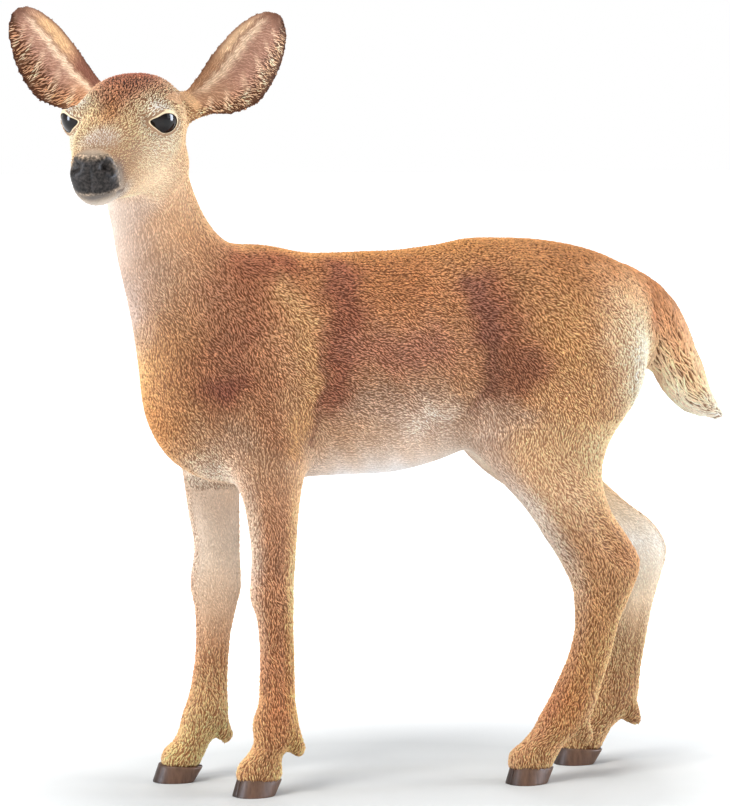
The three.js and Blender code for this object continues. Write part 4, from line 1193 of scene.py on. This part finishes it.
def grow_coat(points, quads, normals):
    """All the coat's pieces, as (name, points, triangles, paint, uv)."""
    root, normal = scattered(points, quads, normals, ROOTS)
    part = charts(root)[0].argmin(0)
    table = np.array([COATS[kind] for kind in COAT_OF_PART])
    cell = np.floor(root / table[part, :1]).astype(np.int64) + CELLS // 2
    key = ((part * CELLS + cell[:, 0]) * CELLS + cell[:, 1]) * CELLS + cell[:, 2]
    keep = np.sort(np.unique(key, return_index=True)[1])
    head = np.column_stack(head_place(root))
    bald = (nose_paint(head) > PAD_LEVEL + 0.05) | (from_mouth(head) < 0.3)
    bald |= root[:, 2] < GROUND + HOOF_HEIGHT
    for side in (1, -1):
        middle, axes = eye_axes(side)
        a, b, out = ((root - middle) @ axes.T).T
        bald |= (np.hypot(a, b) < almond(np.arctan2(b, a)) * LID_REACH) & (out > 0)
    keep = keep[~bald[keep]]
    root, normal, part, head = root[keep], normal[keep], part[keep], head[keep]

    near_part = nearness(root)
    lie = combed(root, normal, part, near_part)
    swirl = 0.22 * np.sin(root @ np.array([0.9, 0.5, 0.7])) + 0.16 * np.sin(root @ np.array([-1.7, 1.1, 1.3]))
    turn = (swirl + rng.normal(0, STRAY, len(root)))[:, None]
    lie = lie * np.cos(turn) + np.cross(normal, lie) * np.sin(turn)
    strength = roughness_of_coat(root)
    size = (near_part.T @ table[:, 1:]) * rng.uniform(1 - UNEVEN, 1 + UNEVEN, (len(root), 3))
    size[:, 2] *= np.clip(strength, 0.3, 1.3)
    for name in EARS:
        share, across, _ = ear_place(name, root)
        rim = ease(0.72, 0.9, np.abs(across)) + ease(0.85, 0.95, share)
        mine = part == PARTS.index(name)
        size[mine] *= 1 - 0.65 * np.clip(rim[mine], 0, 1)[:, None]
    mine = part == PARTS.index("tail")
    size[mine] *= (1 - 0.35 * ease(0.75, 1.0, tail_place(root[mine])[1]))[:, None]
    face = np.where(part == PARTS.index("head"), 1 - 0.45 * ease(3.5, 8.5, head[:, 0]), 1.0)
    size[:, :2] *= face[:, None]
    tone = markings(root) * (1 + rng.normal(0, MOTTLE, len(root)) * np.clip(strength, 0.3, 1.6))[:, None]

    for name, parts in COAT_PIECES.items():
        covered = [PARTS.index(each) for each in parts]
        mine = np.isin(part, covered)
        if name.startswith("coat_trunk"):
            mine &= (root[:, 1] < 0) == name.endswith("left")
        sections = 2 if name in ("coat_tail", "coat_ears") else 1
        made, triangles, crest, corner = tufts(root[mine], normal[mine], lie[mine], size[mine], sections)
        depth = np.clip(np.repeat(strength[mine], corner), 0.3, 1.9)[:, None]
        own = np.clip(np.repeat(tone[mine], corner, axis=0), 0, 1)
        # Each tuft is paler along its crest and darker down its sides: partly dry-brushing and a wash, partly
        # painted highlight and painted shade of its own relief.
        brushed = DRY_BRUSH_AND_HIGHLIGHT * (BRUSH_ON_BLACK - BRUSH_FALL * own.mean(1, keepdims=True))
        shade = 1 + depth * (crest[:, None] * (brushed + WASH_AND_SHADE) - WASH_AND_SHADE)
        paint = linear(own * shade)
        yield name, made, triangles, paint, bake_places(root[mine], part[mine], covered, corner)


# ---------------------------------------------------------------- materials
def add(tree, kind, inputs=(), **settings):
    """Adds a node of a kind, with its settings, and its inputs as values or as another node's output."""
    made = tree.nodes.new(kind)
    for key, value in settings.items():
        setattr(made, key, value)
    for key, value in dict(inputs).items():
        if isinstance(value, bpy.types.NodeSocket):
            tree.links.new(value, made.inputs[key])
        else:
            made.inputs[key].default_value = value
    return made


def blank(name):
    """New material with an empty node tree."""
    made = bpy.data.materials.new(name)
    made.use_nodes = True
    made.node_tree.nodes.clear()
    return made, made.node_tree


def close(tree, inputs):
    """Principled shader with these inputs, joined to the material's output."""
    shader = add(tree, "ShaderNodeBsdfPrincipled", inputs)
    add(tree, "ShaderNodeOutputMaterial", {"Surface": shader.outputs["BSDF"]})


def per_mm(size):
    """Texture scale, in turns to the metre, of a pattern that repeats every `size` millimetres."""
    return 1 / (size * MM)


def object_place(tree):
    """Place in the object's own coordinates."""
    return add(tree, "ShaderNodeTexCoord").outputs["Object"]


def own_paint(tree):
    """The colour painted on the mesh."""
    return add(tree, "ShaderNodeAttribute", attribute_name="paint").outputs["Color"]


def noise(tree, place, size, detail):
    """Noise with lumps of about `size` millimetres."""
    made = add(tree, "ShaderNodeTexNoise", {"Vector": place, "Scale": per_mm(size), "Detail": detail})
    return made.outputs["Fac"]


def ranged(tree, value, source, target):
    """value carried from the range source to the range target and held at its ends."""
    made = add(tree, "ShaderNodeMapRange", {"Value": value, "From Min": source[0], "From Max": source[1],
                                            "To Min": target[0], "To Max": target[1]})
    return made.outputs["Result"]


def scaled(tree, colour, factor):
    """colour times a number."""
    made = add(tree, "ShaderNodeVectorMath", {0: colour, "Scale": factor}, operation="SCALE")
    return made.outputs["Vector"]


def bumped(tree, height, strength, depth):
    """Normal of a surface with this height map, `depth` millimetres deep."""
    made = add(tree, "ShaderNodeBump", {"Height": height, "Strength": strength, "Distance": depth * MM})
    return made.outputs["Normal"]


def ramped(tree, value, low, high, ends=(0.0, 1.0)):
    """Colour between the hex codes low and high, as value goes from one of the ends to the other."""
    made = add(tree, "ShaderNodeValToRGB", {"Fac": value})
    for stop, code, end in zip(made.color_ramp.elements, (low, high), ends):
        stop.position = end
        stop.color = (*linear(code), 1)
    return made.outputs["Color"]


def painted_vinyl():
    """Soft vinyl, moulded with a sculpted coat, airbrushed with matt acrylics and then dry-brushed, its
    painted colour also holding painted shade in the grooves and painted highlight on the crests: dull with a
    faint satin on the crests, the colour cloudy where passes overlap and grainy where the drier brush caught
    the mould's grain."""
    made, tree = blank("painted_moulded_vinyl")
    place = object_place(tree)
    cloud = noise(tree, place, 3.0, 3.0)
    grain = noise(tree, place, 0.22, 3.0)
    cloudy = ranged(tree, cloud, (0.3, 0.7), (0.93, 1.07))
    grainy = ranged(tree, grain, (0.3, 0.7), (0.86, 1.14))
    both = add(tree, "ShaderNodeMath", {0: cloudy, 1: grainy}, operation="MULTIPLY")
    close(tree, {
        "Base Color": scaled(tree, own_paint(tree), both.outputs["Value"]),
        "Roughness": ranged(tree, grain, (0.3, 0.7), (0.68, 0.5)),
        "Normal": bumped(tree, grain, 0.35, 0.05),
        "IOR": 1.46, "Specular IOR Level": 0.14})
    return made


def nose_lacquer():
    """Black satin lacquer stippled on by brush over the moulded grain of the nose: it shines in small
    broken spots, and thins to grey-brown at the pad's edge."""
    made, tree = blank("stippled_nose_lacquer")
    place = object_place(tree)
    pebble = add(tree, "ShaderNodeTexVoronoi", {"Vector": place, "Scale": per_mm(0.26)}).outputs["Distance"]
    speck = noise(tree, place, 0.3, 4.0)
    close(tree, {
        "Base Color": scaled(tree, own_paint(tree), ranged(tree, speck, (0.4, 0.7), (0.55, 3.4))),
        "Roughness": ranged(tree, speck, (0.35, 0.7), (0.4, 0.62)),
        "Normal": bumped(tree, pebble, 0.5, 0.06),
        "IOR": 1.5, "Specular IOR Level": 0.16})
    return made


def eye_lacquer():
    """Deep black gloss enamel flowed over the moulded eye: a wet sheet of shine with sharp reflections,
    and a hint of brown where the light goes into it."""
    made, tree = blank("gloss_black_eye_enamel")
    cloud = noise(tree, object_place(tree), 1.2, 2.0)
    close(tree, {
        "Base Color": ramped(tree, cloud, "0a0809", "1c1413", (0.35, 0.7)),
        "Roughness": 0.1,
        "Normal": bumped(tree, cloud, 0.12, 0.03),
        "IOR": 1.5, "Specular IOR Level": 0.24})
    return made


def hoof_paint():
    """Grey-brown satin acrylic brushed down the moulded claws: fine streaks from the coronet to the
    ground, over a paint that darkens towards the toe."""
    made, tree = blank("brushed_satin_hoof_paint")
    drawn = add(tree, "ShaderNodeMapping", {"Vector": object_place(tree), "Scale": (1.0, 1.0, 0.25)})
    streak = noise(tree, drawn.outputs["Vector"], 0.35, 4.0)
    close(tree, {
        "Base Color": scaled(tree, own_paint(tree), ranged(tree, streak, (0.3, 0.7), (0.75, 1.3))),
        "Roughness": ranged(tree, streak, (0.0, 1.0), (0.55, 0.35)),
        "Normal": bumped(tree, streak, 0.35, 0.06),
        "IOR": 1.46, "Specular IOR Level": 0.25})
    return made


def floor_paper():
    """Matt pale paper with the faintest mottle of its fibres, glowing more and more from 30 to 90 mm off the
    figure's middle: the glow is painted light that makes it white all round, and near the figure, left
    without glow, it is greyer, a painted shade round the figure on top of the shadows that it casts."""
    made, tree = blank("matt_paper_glowing_away_from_figure")
    place = object_place(tree)
    reach = add(tree, "ShaderNodeVectorMath", {0: place}, operation="LENGTH").outputs["Value"]
    close(tree, {
        "Base Color": ramped(tree, noise(tree, place, 6.0, 2.0), "d0d5d9", "d4d9dd"),
        "Roughness": 0.9, "Specular IOR Level": 0.2,
        "Emission Color": (1, 1, 1, 1),
        # painted light and painted shade: the glow rises with distance from the figure's middle
        "Emission Strength": ranged(tree, reach, (0.03, 0.09), (0.0, 1.0))})
    return made


# ---------------------------------------------------------------- the figure
PAD_PROUD, PAD_DEPTH = 0.03, 0.3
LID_PALE, LID_DARK = rgb("e6d3b2"), rgb("2c211d")
HOOF_PALE, HOOF_DARK = rgb("654c3e"), rgb("2a211e")
FLESH = ["head", "neck", "trunk", "tail", "ear_left", "ear_right"]
FLESH += [f"{name}_{length}" for name in LEGS for length in ("upper", "cannon", "pastern")]


def shown(piece, material):
    """Gives a finished piece its material and its body."""
    piece.data.materials.append(material)
    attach(piece, "root")
    return piece


def nose_pad(points, quads, normals):
    """Lacquered pad of the nose: the skin's faces in front of the muzzle, as a closed plate that stands
    a little proud of the skin and goes into it, its two sides joined along the rim."""
    head = np.column_stack(head_place(points[quads].mean(1)))
    mine = quads[(nose_paint(head) > PAD_LEVEL) & (head[:, 0] > MUZZLE_START)]
    used, inverse = np.unique(mine, return_inverse=True)
    mine = inverse.reshape(-1, 4)
    count = len(used)
    edges = np.stack([mine, np.roll(mine, -1, 1)], -1).reshape(-1, 2)
    key, twin = edges[:, 0] * count + edges[:, 1], edges[:, 1] * count + edges[:, 0]
    rim = edges[~np.isin(key, twin)]
    walls = np.stack([rim[:, 1], rim[:, 0], rim[:, 0] + count, rim[:, 1] + count], -1)
    faces = np.vstack([mine, mine[:, ::-1] + count, walls])
    both = np.vstack([points[used] + normals[used] * PAD_PROUD, points[used] - normals[used] * PAD_DEPTH])
    return both, faces, np.tile(markings(points[used]), (2, 1))


vinyl, lacquer, enamel, horn = painted_vinyl(), nose_lacquer(), eye_lacquer(), hoof_paint()

skin_points, skin_quads = skin_form()
skin_normals = normals_of(skin_points, skin_quads)
# The skin shows only between the tufts: it is darkened there, partly by a wash and partly as painted shade in
# the grooves.
groove = 1 - 1.1 * WASH_AND_SHADE * np.clip(roughness_of_coat(skin_points), 0, 1.8)[:, None]
skin_paint = linear(markings(skin_points) * groove)
skin = shown(mesh_of("skin", skin_points, skin_quads, skin_paint), vinyl)
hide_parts(*FLESH)

for name, made, triangles, paint, uv in grow_coat(skin_points, skin_quads, skin_normals):
    shown(mesh_of(name, made, triangles, paint, uv), vinyl)

pad_points, pad_faces, pad_colour = nose_pad(skin_points, skin_quads, skin_normals)
pad = shown(mesh_of("nose_pad", pad_points, pad_faces, linear(pad_colour)), lacquer)
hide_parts("nose")

for hand, side in (("left", 1), ("right", -1)):
    eye = shown(mesh_of(f"eye_bead_{hand}", *eyeball(side)), enamel)
    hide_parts(f"eye_{hand}")
    points, faces, dark = lid(side)
    colour = LID_PALE + (LID_DARK - LID_PALE) * dark[:, None]
    shown(mesh_of(f"lid_{hand}", points, faces, linear(colour)), vinyl)

for name, leg in LEGS.items():
    for hand, which in ((1, "outer"), (-1, "inner")):
        points, faces = claw(leg, hand)
        dark = 0.85 * ease(0.6, 2.6, leg["sole"][0] - points[:, 0])
        colour = HOOF_PALE + (HOOF_DARK - HOOF_PALE) * dark[:, None]
        piece = shown(mesh_of(f"claw_{name}_{which}", points, faces, linear(colour)), horn)
        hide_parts(f"hoof_{name}_{which}")

# ---------------------------------------------------------------- floor, light and camera
FLOOR_HALF = 3000.0
floor_corners = FLOOR_HALF * np.array([(-1, -1), (1, -1), (1, 1), (-1, 1)])
floor_points = np.column_stack([floor_corners, np.full(4, GROUND)])
floor = mesh_of("floor", floor_points, np.array([[0, 1, 2, 3]]))
floor.data.materials.append(floor_paper())

TARGET = np.array([0.0, 0.0, 42.75])
CAMERA_TURN, CAMERA_RISE, CAMERA_DISTANCE = np.radians(15.0), np.radians(4.5), 450.0
FRAME_HEIGHT = 89.56  # millimetres of the target's plane from the picture's top to its bottom
SENSOR = 36.0


def placed(point):
    """A point of the figure's own frame, in the CAD's, in metres."""
    return Vector((np.asarray(point, float) + SHIFT) * MM)


def aim(thing, place, target):
    """Puts a light or camera at a place, looking at a target."""
    thing.location = placed(place)
    thing.rotation_mode = "QUATERNION"
    thing.rotation_quaternion = (placed(target) - thing.location).to_track_quat("-Z", "Y")
    bpy.context.scene.collection.objects.link(thing)
    return thing


away = np.array([-np.sin(CAMERA_TURN) * np.cos(CAMERA_RISE), -np.cos(CAMERA_TURN) * np.cos(CAMERA_RISE),
                 np.sin(CAMERA_RISE)])
lens = bpy.data.cameras.new("camera")
lens.lens = SENSOR * CAMERA_DISTANCE / FRAME_HEIGHT
lens.sensor_width = SENSOR
lens.clip_start, lens.clip_end = 0.01, 10.0
camera = aim(bpy.data.objects.new("camera", lens), TARGET + away * CAMERA_DISTANCE, TARGET)
bpy.context.scene.camera = camera

# Softboxes: name, place, width and height in millimetres, watts, and colour.
SOFTBOXES = [
    ("key", (-360, -330, 560), (260, 260), 3.3, "fffaf2"),
    ("fill", (520, -420, 240), (300, 300), 0.6, "f4f8ff"),
    ("top", (80, 40, 620), (360, 360), 1.5, "fffdf8"),
    ("rim", (200, 520, 320), (300, 300), 0.9, "ffffff"),
    ("strip_right", (430, -125, 110), (70, 220), 0.5, "fff8ee"),
    ("strip_left", (-480, -15, 110), (70, 220), 0.6, "f2f6ff"),
    ("catch_right", (425, -150, 110), (170, 300), 5.5, "e4eeff"),
    ("catch_left", (-480, -40, 105), (120, 240), 2.6, "e4eeff"),
]
for name, place, (wide, tall), watts, tint in SOFTBOXES:
    light = bpy.data.lights.new(name, "AREA")
    light.shape, light.size, light.size_y, light.energy = "RECTANGLE", wide * MM, tall * MM, watts
    light.color = linear(tint)
    softbox = aim(bpy.data.objects.new(name, light), place, TARGET)
    softbox.visible_diffuse = not name.startswith("catch")  # the catchlights show only in gloss

# Cyclorama: white round the horizon, dimmer overhead, where the softboxes do the work.
world = bpy.data.worlds.new("cyclorama")
bpy.context.scene.world = world
world.use_nodes = True
sky = world.node_tree
sky.nodes.clear()
way = add(sky, "ShaderNodeTexCoord")
height = add(sky, "ShaderNodeSeparateXYZ", {"Vector": way.outputs["Generated"]})
glow = add(sky, "ShaderNodeMapRange", {"Value": height.outputs["Z"], "From Min": 0.05, "From Max": 0.3,
                                       "To Min": 1.0, "To Max": 0.35})
back = add(sky, "ShaderNodeBackground", {"Color": (1, 1, 1, 1), "Strength": glow.outputs["Result"]})
add(sky, "ShaderNodeOutputWorld", {"Surface": back.outputs["Background"]})
bpy.context.scene.view_settings.view_transform = "Standard"
